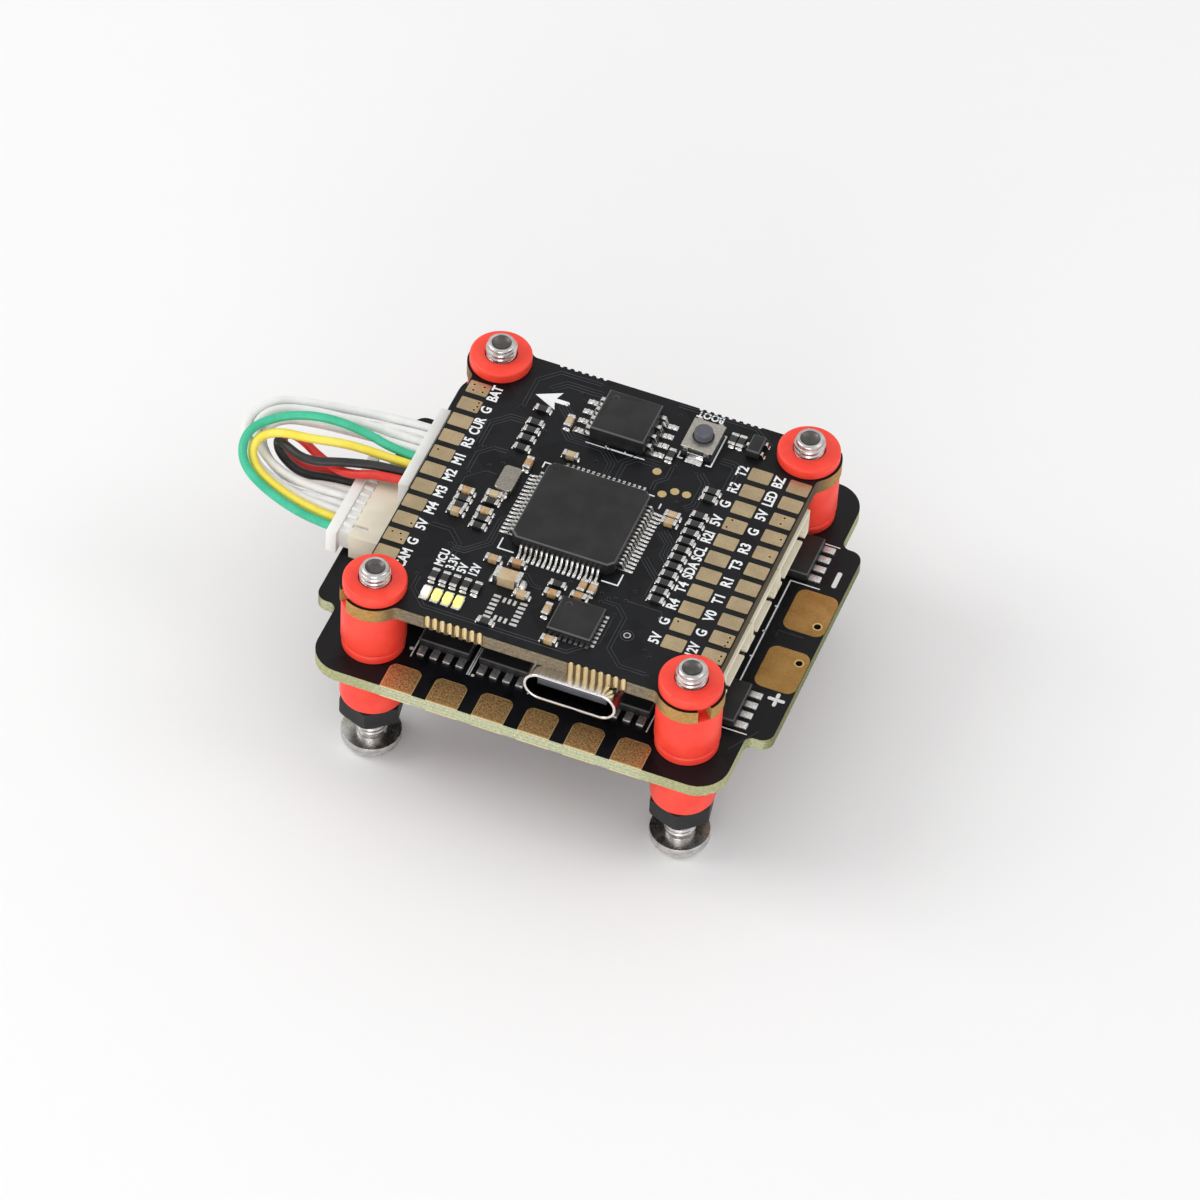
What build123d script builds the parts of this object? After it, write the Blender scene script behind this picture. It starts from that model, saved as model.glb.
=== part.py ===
from build123d import *
import os
from math import pi, radians, tan

# Flight controller board on its 4-in-1 speed controller board, joined by an eight-wire harness
# and carried on silicone grommets, screws and nuts. Millimetres, +Z up.
# Origin: centre of the square hole pattern, on the plane that the four screw heads stand on.
# +X is the battery side, -X the harness side, -Y the USB side.

os.makedirs("parts", exist_ok=True)

# ---------------------------------------------------------------- driving sizes
hole_pitch = 30.5              # square mounting pattern, both boards
screw_radius = 1.5             # M3
screw_length = 22.0
head_radius = 2.85
head_height = 1.65
key_across_flats = 2.0
key_depth = 1.0
frame_gap = 3.0                # room for the frame plate between head and nut
nut_across_flats = 5.5
nut_height = 2.0
nut_turn = 40.0
thread_clearance = 0.02
sleeve_clearance = 0.05        # screw in grommet
neck_clearance = 0.02          # grommet neck in board hole

board_hole_radius = 2.0
flange_radius = 2.94
skirt_radius = 3.03
fc_flange_height = 1.2
esc_flange_height = 1.0
fc_skirt_height = 5.05
esc_skirt_height = 5.6

fc_thickness = 1.5
fc_margin = 1.75               # board edge beyond the line of holes
ear_radius = 3.15
ear_slot_width = 1.3
esc_thickness = 1.3
esc_margin = 4.75
esc_corner_radius = 3.0
tongue_reach = 2.25            # each side tongue beyond the main outline
tongue_length = 25.0
pad_thickness = 0.06

# connectors with 1 mm pitch
pin_pitch = 1.0
housing_height = 2.95
housing_depth = 4.25
housing_side = 0.5
housing_floor = 0.45           # wall next to the board
housing_back = 0.8
cavity_height = 2.2
plug_clearance = 0.05
plug_neck = 1.15               # mouth of the housing to the plug's flange
plug_flange_depth = 1.0
plug_flange_overhang = 0.2     # past the housing at each end
plug_flange_height = 2.6
harness_pins = 8
wire_diameter = 0.85
wire_bore_clearance = 0.025
wire_bore_depth = 3.5
terminal_side = 0.66

usb_width = 8.94
usb_height = 3.2
usb_wall = 0.3
usb_depth = 7.3
usb_overhang = 1.2
usb_x = 4.85

button_radius = 0.88
button_clearance = 0.07
button_travel = 0.25

# ---------------------------------------------------------------- levels and edges
nut_bottom = head_height + frame_gap
esc_skirt_bottom = nut_bottom + nut_height
esc_bottom = esc_skirt_bottom + esc_skirt_height
esc_top = esc_bottom + esc_thickness
fc_skirt_bottom = esc_top + esc_flange_height
fc_bottom = fc_skirt_bottom + fc_skirt_height
fc_top = fc_bottom + fc_thickness

fc_half = hole_pitch / 2 + fc_margin
esc_half = hole_pitch / 2 + esc_margin
tongue_half = esc_half + tongue_reach
hole_x = hole_pitch / 2

low = (Align.CENTER, Align.CENTER, Align.MIN)
high = (Align.CENTER, Align.CENTER, Align.MAX)


def save(name, piece):
    piece.part.label = name
    export_step(piece.part, f"parts/{name}.step")


def blocks(places, length, width, height, align=low):
    # one plain block at each place
    with BuildPart() as group:
        with Locations(*places):
            Box(length, width, height, align=align)
    return group


def copies(places, item):
    # the same item at each place
    with BuildPart() as group:
        with Locations(*places):
            add(item.part)
    return group


def spot(x, y, level, turn=0):
    return Location((x, y, level), (0, 0, turn))


# ---------------------------------------------------------------- screws, nuts, grommets
with BuildPart() as screws:
    with GridLocations(hole_pitch, hole_pitch, 2, 2):
        Cylinder(head_radius, head_height, align=low)
    fillet(screws.edges().filter_by(GeomType.CIRCLE).group_by(Axis.Z)[0], 1.0)
    with BuildSketch(Plane.XY.offset(head_height)):
        with GridLocations(hole_pitch, hole_pitch, 2, 2):
            Circle(screw_radius)
    extrude(amount=screw_length)
    chamfer(screws.edges().filter_by(GeomType.CIRCLE).group_by(Axis.Z)[-1], 0.35)
    with BuildSketch(Plane.XY):
        with GridLocations(hole_pitch, hole_pitch, 2, 2):
            RegularPolygon(key_across_flats / 2, 6, major_radius=False)
    extrude(amount=key_depth, mode=Mode.SUBTRACT)
save("screws", screws)

with BuildPart() as nuts:
    with BuildSketch(Plane.XY.offset(nut_bottom)):
        with GridLocations(hole_pitch, hole_pitch, 2, 2):
            RegularPolygon(nut_across_flats / 2, 6, major_radius=False, rotation=nut_turn)
            Circle(screw_radius + thread_clearance, mode=Mode.SUBTRACT)
    extrude(amount=nut_height)
save("nuts", nuts)


def grommets(board_level, thickness, flange_height, skirt_height):
    # a soft sleeve in each board hole: skirt below, neck through the hole, flange on top
    with BuildPart() as sleeves:
        with BuildSketch(Plane.XY.offset(board_level - skirt_height)):
            with GridLocations(hole_pitch, hole_pitch, 2, 2):
                Circle(skirt_radius)
        extrude(amount=skirt_height)
        chamfer(sleeves.edges().group_by(Axis.Z)[0], 0.2)
        with BuildSketch(Plane.XY.offset(board_level)):
            with GridLocations(hole_pitch, hole_pitch, 2, 2):
                Circle(board_hole_radius - neck_clearance)
        extrude(amount=thickness)
        with BuildSketch(Plane.XY.offset(board_level + thickness)):
            with GridLocations(hole_pitch, hole_pitch, 2, 2):
                Circle(flange_radius)
        extrude(amount=flange_height)
        fillet(sleeves.edges().group_by(Axis.Z)[-1], 0.25)
        with BuildSketch(Plane.XY.offset(board_level - skirt_height)):
            with GridLocations(hole_pitch, hole_pitch, 2, 2):
                Circle(screw_radius + sleeve_clearance)
        extrude(amount=skirt_height + thickness + flange_height, mode=Mode.SUBTRACT)
    return sleeves


save("fc_grommets", grommets(fc_bottom, fc_thickness, fc_flange_height, fc_skirt_height))
save("esc_grommets", grommets(esc_bottom, esc_thickness, esc_flange_height, esc_skirt_height))

# ---------------------------------------------------------------- flight controller board
groove_radius = 0.2
groove_pitch = 0.72
# each row of plated grooves: middle along X, edge (-1 front, 1 back), number of grooves
groove_rows = ((-6.9, -1, 8), (6.95, -1, 8), (-7.65, 1, 7), (6.95, 1, 9))
corners = [(side, end) for side in (-1, 1) for end in (-1, 1)]

with BuildPart() as fc_board:
    with BuildSketch(Plane.XY.offset(fc_bottom)) as fc_outline:
        Rectangle(2 * fc_half, 2 * fc_half)
        with GridLocations(hole_pitch, hole_pitch, 2, 2):
            Circle(ear_radius)
        fillet(fc_outline.vertices(), 0.8)
        with GridLocations(hole_pitch, hole_pitch, 2, 2):
            Circle(board_hole_radius, mode=Mode.SUBTRACT)
        slots = [Location((s * (hole_x + 2), e * (hole_x + 2), 0), (0, 0, 45 * s * e))
                 for s, e in corners]
        with Locations(*slots):
            Rectangle(2 * board_hole_radius, ear_slot_width, mode=Mode.SUBTRACT)
    extrude(amount=fc_thickness)
    for middle, edge, count in groove_rows:
        with Locations((middle, edge * fc_half, fc_bottom)):
            with GridLocations(groove_pitch, 1, count, 1):
                Cylinder(groove_radius, fc_thickness, align=low, mode=Mode.SUBTRACT)
save("fc_board", fc_board)

# solder pads: one column by the harness edge, two by the battery edge
fc_pad_length = 2.08
fc_pad_width = 1.58
fc_pad_pitch = 2.225
fc_pad_rows = 11
fc_pad_columns = (-(fc_half - 1.18), fc_half - 4.96, fc_half - 1.18)
with BuildPart() as fc_solder_pads:
    for column in fc_pad_columns:
        with Locations((column, 0, fc_top)):
            with GridLocations(1, fc_pad_pitch, 1, fc_pad_rows):
                Box(fc_pad_length, fc_pad_width, pad_thickness, align=low)
save("fc_solder_pads", fc_solder_pads)

# ---------------------------------------------------------------- chips on the flight board


def gull_lead(width, out, rise):
    # bent lead: leaves the body at height rise and stands flat, out along +X
    sheet = 0.15
    knee = 0.35 * out
    foot = 0.6 * out
    with BuildPart() as lead:
        with BuildSketch(Plane.XZ):
            with BuildLine():
                Polyline((0, rise), (knee, rise), (foot, 0), (out, 0), (out, sheet),
                         (foot + 0.1, sheet), (knee + 0.1, rise + sheet), (0, rise + sheet),
                         close=True)
            make_face()
        extrude(amount=width / 2, both=True)
    return lead


def lead_places(x, y, level, half, pitch, per_side, turns):
    # leads along the sides of a body of half size half, one side for each turn
    rows = [(i - (per_side - 1) / 2) * pitch for i in range(per_side)]
    return [Location((x, y, level)) * Location((0, 0, 0), (0, 0, turn)) * Location((half, row, 0))
            for turn in turns for row in rows]


def chip_body(x, y, level, length, width, height, gap):
    # moulded body, bevelled along its top, with the round mark of its first pin
    with BuildPart() as body:
        with Locations((x, y, level + gap)):
            Box(length, width, height - gap, align=low)
        chamfer(body.edges().group_by(Axis.Z)[-1], 0.12)
        with Locations((x - length / 2 + 0.9, y + width / 2 - 0.9, level + height)):
            Cylinder(0.3, 0.1, mode=Mode.SUBTRACT)
    return body


mcu_x, mcu_y, mcu_side = -0.93, -0.85, 10.0
save("mcu_chip", chip_body(mcu_x, mcu_y, fc_top, mcu_side, mcu_side, 1.45, 0.1))
mcu_places = lead_places(mcu_x, mcu_y, fc_top, mcu_side / 2, 0.5, 16, (0, 90, 180, 270))
save("mcu_leads", copies(mcu_places, gull_lead(0.22, 1.0, 0.7)))

flash_x, flash_y, flash_side = -1.45, 11.8, 5.25
save("flash_chip", chip_body(flash_x, flash_y, fc_top, flash_side, flash_side, 1.8, 0.1))
sot_x, sot_y = 10.5, 14.1
flash_places = lead_places(flash_x, flash_y, fc_top, flash_side / 2, 1.27, 4, (0, 180))
save("flash_leads", copies(flash_places, gull_lead(0.42, 1.3, 0.85)))

save("osd_chip", chip_body(3.1, -12.3, fc_top, 4.2, 4.2, 0.8, 0.02))

with BuildPart() as transistor:
    with Locations((sot_x, sot_y, fc_top + 0.05)):
        Box(1.3, 2.2, 0.9, align=low)
    chamfer(transistor.edges().group_by(Axis.Z)[-1], 0.12)
save("transistor", transistor)
sot_places = [spot(sot_x + 0.65, sot_y + row, fc_top) for row in (-0.65, 0.65)]
sot_places.append(spot(sot_x - 0.65, sot_y, fc_top, 180))
save("transistor_leads", copies(sot_places, gull_lead(0.4, 0.5, 0.4)))

with BuildPart() as crystal:
    with BuildSketch(Plane.XY.offset(fc_top)):
        with Locations((-8.88, 1.15)):
            RectangleRounded(1.75, 3.1, 0.4)
    extrude(amount=0.8)
    fillet(crystal.edges().group_by(Axis.Z)[-1], 0.15)
save("crystal", crystal)

# ---------------------------------------------------------------- small parts, top side
# places as (x, y, turn); a turn of 90 lies along Y
capacitor_places = (
    (-6.45, 10.3, 90), (-4.8, 6.4, 0), (-7.97, 3.9, 90), (-11.9, -1.5, 0), (-11.9, -4.2, 0),
    (-9.4, -0.95, 0), (-9.4, -3.2, 0), (-4.35, -7.95, 0), (-6.55, -8.3, 0), (-2.6, -11.3, 0),
    (-0.1, -10.1, 0), (2.1, -8.2, 90), (3.05, -8.2, 90), (2.2, -9.5, 0), (0.2, -12.1, 90),
    (1.66, -15.4, 0), (6.45, 3.1, 0), (6.45, 2.2, 0))
resistor_places = (
    (-9.35, 10.9, 0), (-9.35, 9.05, 0), (-9.35, 8.0, 0), (-9.35, 6.9, 0), (-9.35, 5.6, 0),
    (-11.9, -2.4, 0), (-11.9, -3.3, 0), (-9.4, -1.75, 0), (-9.4, -4.0, 0), (-9.4, -5.0, 0),
    (-4.45, -15.5, 0), (-0.1, -8.8, 0), (8.7, 7.4, 0), (8.7, 6.45, 0), (8.7, 4.15, 0),
    (8.7, 3.0, 0), (8.7, 1.85, 0), (8.7, 0.7, 0), (8.7, -0.4, 0), (8.7, -1.5, 0),
    (8.7, -2.6, 0), (8.7, -3.7, 0), (8.7, -4.8, 0), (8.7, -5.9, 0), (8.7, -7.0, 0),
    (8.2, 14.3, 90), (9.0, 14.3, 90), (3.6, 10.2, 90), (-10.75, -12.15, 90),
    (-9.7, -12.15, 90), (-8.7, -12.15, 90), (-7.65, -12.15, 90), (-6.6, -12.15, 90))
small_length, small_width, small_end = 1.5, 0.72, 0.34
capacitor_height, resistor_height = 0.62, 0.42


def end_places(places, length, end):
    # both metal ends of each two-ended part
    reach = (length - end) / 2
    return [spot(x, y, fc_top, turn) * Location((side * reach, 0, 0))
            for x, y, turn in places for side in (-1, 1)]


def middles(places, height):
    return blocks([spot(x, y, fc_top, turn) for x, y, turn in places],
                  small_length - 2 * small_end, small_width - 0.04, height)


save("chip_capacitors", middles(capacitor_places, capacitor_height))
save("chip_resistors", middles(resistor_places, resistor_height))
with BuildPart() as chip_ends:
    with Locations(*end_places(capacitor_places, small_length, small_end)):
        Box(small_end, small_width, capacitor_height + 0.03, align=low)
    with Locations(*end_places(resistor_places, small_length, small_end)):
        Box(small_end, small_width, resistor_height + 0.03, align=low)
save("chip_ends", chip_ends)

bulk_x, bulk_y, bulk_length = -4.35, -10.2, 2.5
with BuildPart() as bulk_capacitor:
    with Locations((bulk_x, bulk_y, fc_top)):
        Box(bulk_length, 1.3, 1.2, align=low)
    fillet(bulk_capacitor.edges().group_by(Axis.Z)[-1], 0.1)
save("bulk_capacitor", bulk_capacitor)

led_places = [spot(x, -14.4, fc_top) for x in (-10.65, -9.6, -8.55, -7.5)]
save("led_bases", blocks(led_places, 0.8, 1.6, 0.25))
led_tops = [place * Location((0, 0, 0.25)) for place in led_places]
save("led_lenses", blocks(led_tops, 0.7, 1.0, 0.4))

# bare silver lands: the empty sensor footprint and those round the display chip
land_height = 0.04
sensor_rows = [-14.75 + 0.53 * i for i in range(6)]
sensor_columns = (-3.85, -3.36, -2.85)
with BuildPart() as bare_lands:
    with Locations(*[spot(x, y, fc_top) for x in (-4.61, -2.05) for y in sensor_rows]):
        Box(0.7, 0.3, land_height, align=low)
    with Locations(*[spot(x, y, fc_top) for x in sensor_columns for y in (-12.3, -14.6)]):
        Box(0.26, 0.62, land_height, align=low)
    with Locations(*[spot(5.42, -10.6 - 0.53 * i, fc_top) for i in range(8)]):
        Box(0.36, 0.3, land_height, align=low)
    with Locations(*[spot(1.3 + 0.53 * i, -14.6, fc_top) for i in range(8)]):
        Box(0.3, 0.36, land_height, align=low)
    with Locations((3.1, 7.95, fc_top), (5.5, 6.25, fc_top), (6.63, 6.3, fc_top),
                   (4.53, 5.5, fc_top), (7.85, -11.9, fc_top)):
        Cylinder(0.42, land_height, align=low)
save("bare_lands", bare_lands)

# ---------------------------------------------------------------- boot switch
switch_x, switch_y = 5.77, 12.8
switch_length, switch_width = 3.0, 3.8
switch_base_height = 1.0
cover_sheet = 0.2
well_radius = 1.35
well_floor = 0.3
dome_sheet = 0.05
collar_radius = well_radius - 0.15
button_bottom = fc_top + well_floor + dome_sheet + button_travel + 0.02
collar_height = fc_top + switch_base_height - button_bottom - 0.03
button_top = fc_top + 1.95

with BuildPart() as boot_switch_base:
    with Locations((switch_x, switch_y, fc_top)):
        Box(switch_length, switch_width, switch_base_height, align=low)
    with Locations((switch_x, switch_y, fc_top + well_floor)):
        Cylinder(well_radius, switch_base_height, align=low, mode=Mode.SUBTRACT)
save("boot_switch_base", boot_switch_base)

with BuildPart() as boot_switch_dome:
    with Locations((switch_x, switch_y, fc_top + well_floor)):
        Cylinder(well_radius - 0.1, dome_sheet, align=low)
save("boot_switch_dome", boot_switch_dome)

with BuildPart() as boot_switch_cover:
    with Locations((switch_x, switch_y, fc_top + switch_base_height)):
        Box(switch_length + 0.1, switch_width, cover_sheet, align=low)
        Cylinder(button_radius + button_clearance, cover_sheet, align=low, mode=Mode.SUBTRACT)
save("boot_switch_cover", boot_switch_cover)

terminal_reach = switch_width / 2
with BuildPart() as boot_switch_terminals:
    for end in (-1, 1):
        with Locations((switch_x, switch_y + end * (terminal_reach + 0.45), fc_top)):
            Box(1.6, 0.9, 0.2, align=low)
        with Locations((switch_x, switch_y + end * (terminal_reach + 0.1), fc_top)):
            Box(1.6, 0.2, 0.7, align=low)
save("boot_switch_terminals", boot_switch_terminals)

with BuildPart() as boot_button:
    with Locations((switch_x, switch_y, button_bottom)):
        Cylinder(collar_radius, collar_height, align=low)
        Cylinder(button_radius, button_top - button_bottom, align=low)
    fillet(boot_button.edges().group_by(Axis.Z)[-1], 0.15)
save("boot_button", boot_button)

# ---------------------------------------------------------------- USB socket
usb_front = -(fc_half + usb_overhang)
usb_level = fc_bottom - usb_height / 2
usb_mouth = Plane(origin=(usb_x, usb_front, usb_level), x_dir=(1, 0, 0), z_dir=(0, -1, 0))
tongue_width, tongue_sheet, tongue_back = 6.7, 0.7, 0.7
usb_base_depth = 1.8

with BuildPart() as usb_shell:
    with BuildSketch(usb_mouth):
        SlotOverall(usb_width, usb_height)
        SlotOverall(usb_width - 2 * usb_wall, usb_height - 2 * usb_wall, mode=Mode.SUBTRACT)
    extrude(amount=-usb_depth)
    fillet(usb_shell.edges().group_by(Axis.Y)[0], 0.1)
save("usb_shell", usb_shell)

with BuildPart() as usb_tongue:
    with BuildSketch(usb_mouth.offset(-usb_depth)):
        SlotOverall(usb_width - 2 * usb_wall, usb_height - 2 * usb_wall)
    extrude(amount=usb_base_depth)
    with BuildSketch(usb_mouth.offset(-usb_depth)):
        Rectangle(tongue_width, tongue_sheet)
    extrude(amount=usb_depth - tongue_back)
save("usb_tongue", usb_tongue)

contact_length = 3.6
with BuildPart() as usb_contacts:
    for face in (-1, 1):
        with BuildSketch(usb_mouth.offset(-tongue_back - 0.4 - contact_length)):
            with Locations((0, face * (tongue_sheet / 2 + 0.03))):
                with GridLocations(0.5, 1, 12, 1):
                    Rectangle(0.25, pad_thickness)
        extrude(amount=contact_length)
save("usb_contacts", usb_contacts)

# ---------------------------------------------------------------- 1 mm pitch connectors
# a seat is a plane at the foot of the mouth: x along the pins, y away from the board, z outward
header_y, esc_header_y = 3.9, -1.7
fc_mouth_x = -(fc_half - 0.45)
esc_mouth_x = -(esc_half + 1.35)
socket_mouth_x = fc_half + 0.3
fc_seat = Plane(origin=(fc_mouth_x, header_y, fc_bottom), x_dir=(0, 1, 0), z_dir=(-1, 0, 0))
esc_seat = Plane(origin=(esc_mouth_x, esc_header_y, esc_top), x_dir=(0, -1, 0),
                 z_dir=(-1, 0, 0))
blade_side = 0.3
axis_height = housing_floor + cavity_height / 2
plug_front = -(housing_depth - housing_back - 0.1)
terminal_front = plug_front + 1.0


def housing(seat, pins):
    # open box on the board, with a slot in its back wall for each pin
    width = pins * pin_pitch + 2.0
    with BuildPart(seat) as box:
        with Locations((0, housing_height / 2, 0)):
            Box(width, housing_height, housing_depth, align=high)
        with Locations((0, axis_height, 0)):
            Box(width - 2 * housing_side, cavity_height, housing_depth - housing_back,
                align=high, mode=Mode.SUBTRACT)
        for side in (-1, 1):
            with Locations((side * (width / 2 - 1.3), housing_height, 0)):
                Box(0.6, 1.0, 1.4, align=high, mode=Mode.SUBTRACT)
        with Locations((0, axis_height, 0)):
            with GridLocations(pin_pitch, 1, pins, 1):
                Box(blade_side, blade_side, housing_depth, align=high, mode=Mode.SUBTRACT)
    return box


def pin_row(seat, pins, tip):
    # a blade through the back wall to tip, and a tail down to the board behind it
    tail = 0.25
    with BuildPart(seat) as row:
        with Locations((0, axis_height, tip)):
            with GridLocations(pin_pitch, 1, pins, 1):
                Box(blade_side, blade_side, housing_depth + tail + tip, align=high)
        with Locations((0, 0, -housing_depth)):
            with GridLocations(pin_pitch, 1, pins, 1):
                Box(blade_side, axis_height, tail, align=(Align.CENTER, Align.MIN, Align.MAX))
                Box(blade_side, 0.15, 0.9, align=(Align.CENTER, Align.MIN, Align.MAX))
    return row


def plug(seat, pins):
    # plug body in the housing, a neck, a flange, and a bore for each wire and its terminal
    width = (pins * pin_pitch + 2.0) - 2 * housing_side - 2 * plug_clearance
    flange_width = pins * pin_pitch + 2.0 + 2 * plug_flange_overhang
    outer = plug_neck + plug_flange_depth
    bore_end = outer - wire_bore_depth
    with BuildPart(seat) as body:
        with Locations((0, axis_height, plug_neck)):
            Box(width, cavity_height - 2 * plug_clearance, plug_neck - plug_front, align=high)
        with Locations((0, axis_height, outer)):
            Box(flange_width, plug_flange_height, plug_flange_depth, align=high)
        with Locations((0, axis_height, outer)):
            with GridLocations(pin_pitch, 1, pins, 1):
                Cylinder(wire_diameter / 2 + wire_bore_clearance, wire_bore_depth, align=high,
                         mode=Mode.SUBTRACT)
        with Locations((0, axis_height, bore_end)):
            with GridLocations(pin_pitch, 1, pins, 1):
                Box(terminal_side, terminal_side, bore_end - terminal_front, align=high,
                    mode=Mode.SUBTRACT)
                Box(blade_side + 0.1, blade_side + 0.1, bore_end - plug_front, align=high,
                    mode=Mode.SUBTRACT)
    return body


def terminals(seat, pins):
    # metal terminal on the end of each wire, stopping short of the header's blade
    bore_end = plug_neck + plug_flange_depth - wire_bore_depth
    with BuildPart(seat) as row:
        with Locations((0, axis_height, bore_end)):
            with GridLocations(pin_pitch, 1, pins, 1):
                Box(terminal_side - 0.04, terminal_side - 0.04, bore_end - terminal_front - 0.02,
                    align=high)
    return row


mated_tip = terminal_front - 0.1
free_tip = -1.2
save("fc_header", housing(fc_seat, harness_pins))
save("esc_header", housing(esc_seat, harness_pins))
save("fc_plug", plug(fc_seat, harness_pins))
save("esc_plug", plug(esc_seat, harness_pins))
with BuildPart() as header_pins:
    for seat in (fc_seat, esc_seat):
        add(pin_row(seat, harness_pins, mated_tip).part)
save("header_pins", header_pins)
with BuildPart() as plug_terminals:
    for seat in (fc_seat, esc_seat):
        add(terminals(seat, harness_pins).part)
save("plug_terminals", plug_terminals)

# three empty side sockets under the battery edge, side by side: name, pins
socket_gap = 0.1
side_sockets = (("front_socket", 5), ("middle_socket", 5), ("rear_socket", 6))
socket_start = -(hole_x - skirt_radius - 0.45)
with BuildPart() as socket_pins:
    for name, pins in side_sockets:
        socket_width = pins * pin_pitch + 2.0
        seat = Plane(origin=(socket_mouth_x, socket_start + socket_width / 2, fc_bottom),
                     x_dir=(0, -1, 0), z_dir=(1, 0, 0))
        add(pin_row(seat, pins, free_tip).part)
        save(name, housing(seat, pins))
        socket_start += socket_width + socket_gap
save("socket_pins", socket_pins)

# ---------------------------------------------------------------- power parts under the board
inductor_places = [spot(x, 9.6, fc_bottom) for x in (-3.2, 3.8)]
with BuildPart() as power_inductors:
    with Locations(*inductor_places):
        Box(4.2, 4.2, 2.0, align=high)
    fillet(power_inductors.edges().filter_by(Axis.Z), 0.5)
save("power_inductors", power_inductors)
chip_spots = [spot(x, y, fc_bottom) for x, y in ((-3.2, 4.4), (3.8, 4.4), (0.0, -3.5))]
save("underside_chips", blocks(chip_spots, 3.0, 3.0, 0.9, align=high))

# ---------------------------------------------------------------- speed controller board
battery_hole_x = tongue_half - 0.9
battery_pads = ((3.7, 2.35), (-3.8, -2.5))       # pad middle and wire hole along Y
battery_hole_radius = 0.33
pad_side_x, pad_side_y = 4.0, 5.2
motor_pad_width, motor_pad_length = 3.1, 3.0
motor_pad_pitch = 4.46

with BuildPart() as esc_board:
    with BuildSketch(Plane.XY.offset(esc_bottom)) as esc_outline:
        RectangleRounded(2 * esc_half, 2 * esc_half, esc_corner_radius)
        RectangleRounded(2 * tongue_half, tongue_length, 1.2)
        steps = [v for v in esc_outline.vertices()
                 if abs(abs(v.X) - esc_half) < 0.01 and abs(abs(v.Y) - tongue_length / 2) < 0.01]
        fillet(steps, 0.8)
        with GridLocations(hole_pitch, hole_pitch, 2, 2):
            Circle(board_hole_radius, mode=Mode.SUBTRACT)
        with Locations(*[(battery_hole_x, hole_y) for pad_y, hole_y in battery_pads]):
            Circle(battery_hole_radius, mode=Mode.SUBTRACT)
    extrude(amount=esc_thickness)
save("esc_board", esc_board)


def pad_pair(places, length, width, corner, hole_radius=0, hole_x=0, hole_places=()):
    # matching pads on both faces of the board
    with BuildPart() as pads:
        for level in (esc_top, esc_bottom - pad_thickness):
            with BuildSketch(Plane.XY.offset(level)):
                with Locations(*places):
                    RectangleRounded(length, width, corner)
                if hole_places:
                    with Locations(*[(hole_x, y) for y in hole_places]):
                        Circle(hole_radius, mode=Mode.SUBTRACT)
            extrude(amount=pad_thickness)
    return pads


motor_row = [(i - 2.5) * motor_pad_pitch for i in range(6)]
motor_pad_y = esc_half - motor_pad_length / 2
motor_pads = [(x, end * motor_pad_y) for x in motor_row for end in (-1, 1)]
save("motor_pads", pad_pair(motor_pads, motor_pad_width, motor_pad_length, 0.65))
battery_middles = [(tongue_half - pad_side_x / 2 - 0.05, y) for y, hole in battery_pads]
save("battery_pads", pad_pair(battery_middles, pad_side_x, pad_side_y, 0.9,
                              battery_hole_radius, battery_hole_x,
                              [hole for y, hole in battery_pads]))

# ---------------------------------------------------------------- power transistors
fet_width, fet_length, fet_height = 4.9, 5.75, 1.0
fet_lead_reach = 1.15
fet_row_pitch = 5.85
fet_edge_gap = 4.7             # board edge to the tips of the leads
fet_row_y = esc_half - fet_edge_gap - fet_lead_reach - fet_length / 2
fet_side_x = esc_half - 0.3 - fet_lead_reach - fet_length / 2
fet_side_y = hole_x - skirt_radius - 0.12 - fet_width / 2

with BuildPart() as fet_body:
    Box(fet_width, fet_length, fet_height, align=low)
    chamfer(fet_body.edges().group_by(Axis.Z)[-1], 0.1)
with BuildPart() as fet_leads:
    with Locations((0, -fet_length / 2, 0)):
        with GridLocations(1.27, 1, 4, 1):
            Box(0.7, fet_lead_reach, 0.28, align=(Align.CENTER, Align.MAX, Align.MIN))
    with Locations((0, fet_length / 2, 0)):
        Box(4.1, 0.5, 0.25, align=(Align.CENTER, Align.MIN, Align.MIN))

fet_spots = [((i - 1.5) * fet_row_pitch, -fet_row_y, 0) for i in range(4)]
fet_spots += [((i - 1.5) * fet_row_pitch, fet_row_y, 180) for i in range(4)]
fet_spots += [(fet_side_x, end * fet_side_y, 90) for end in (-1, 1)]
fet_spots += [(-fet_side_x, end * fet_side_y, -90) for end in (-1, 1)]
fets_above = [spot(x, y, esc_top, turn) for x, y, turn in fet_spots]
# below the board the same row hangs head down
fets_below = [spot(x, y, esc_bottom, turn) * Location((0, 0, 0), (0, 180, 0))
              for x, y, turn in fet_spots]
save("top_mosfets", copies(fets_above, fet_body))
save("top_mosfet_leads", copies(fets_above, fet_leads))
save("bottom_mosfets", copies(fets_below, fet_body))
save("bottom_mosfet_leads", copies(fets_below, fet_leads))

# ---------------------------------------------------------------- control parts between the boards
motor_chip_spots = [spot(x, y, esc_top) for x in (-9.0, 9.0) for y in (-4.6, 4.6)]
driver_spots = [spot(x, y, esc_top) for x in (-3.6, 3.6) for y in (-4.9, 4.9)]
with BuildPart() as motor_control_chips:
    with Locations(*motor_chip_spots):
        Box(4.0, 4.0, 0.85, align=low)
    with Locations(*driver_spots):
        Box(3.0, 3.0, 0.85, align=low)
save("motor_control_chips", motor_control_chips)
shunt_spots = [spot(fet_side_x - 0.8, y, esc_top) for y in (-3.4, 3.4)]
save("current_shunts", blocks(shunt_spots, 3.2, 6.2, 0.8))
filter_spots = [spot(x, 0, esc_top) for x in (-10.0, -6.0, -2.0, 2.0, 6.0)]
save("filter_capacitors", blocks(filter_spots, 3.2, 1.6, 1.2))

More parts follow.
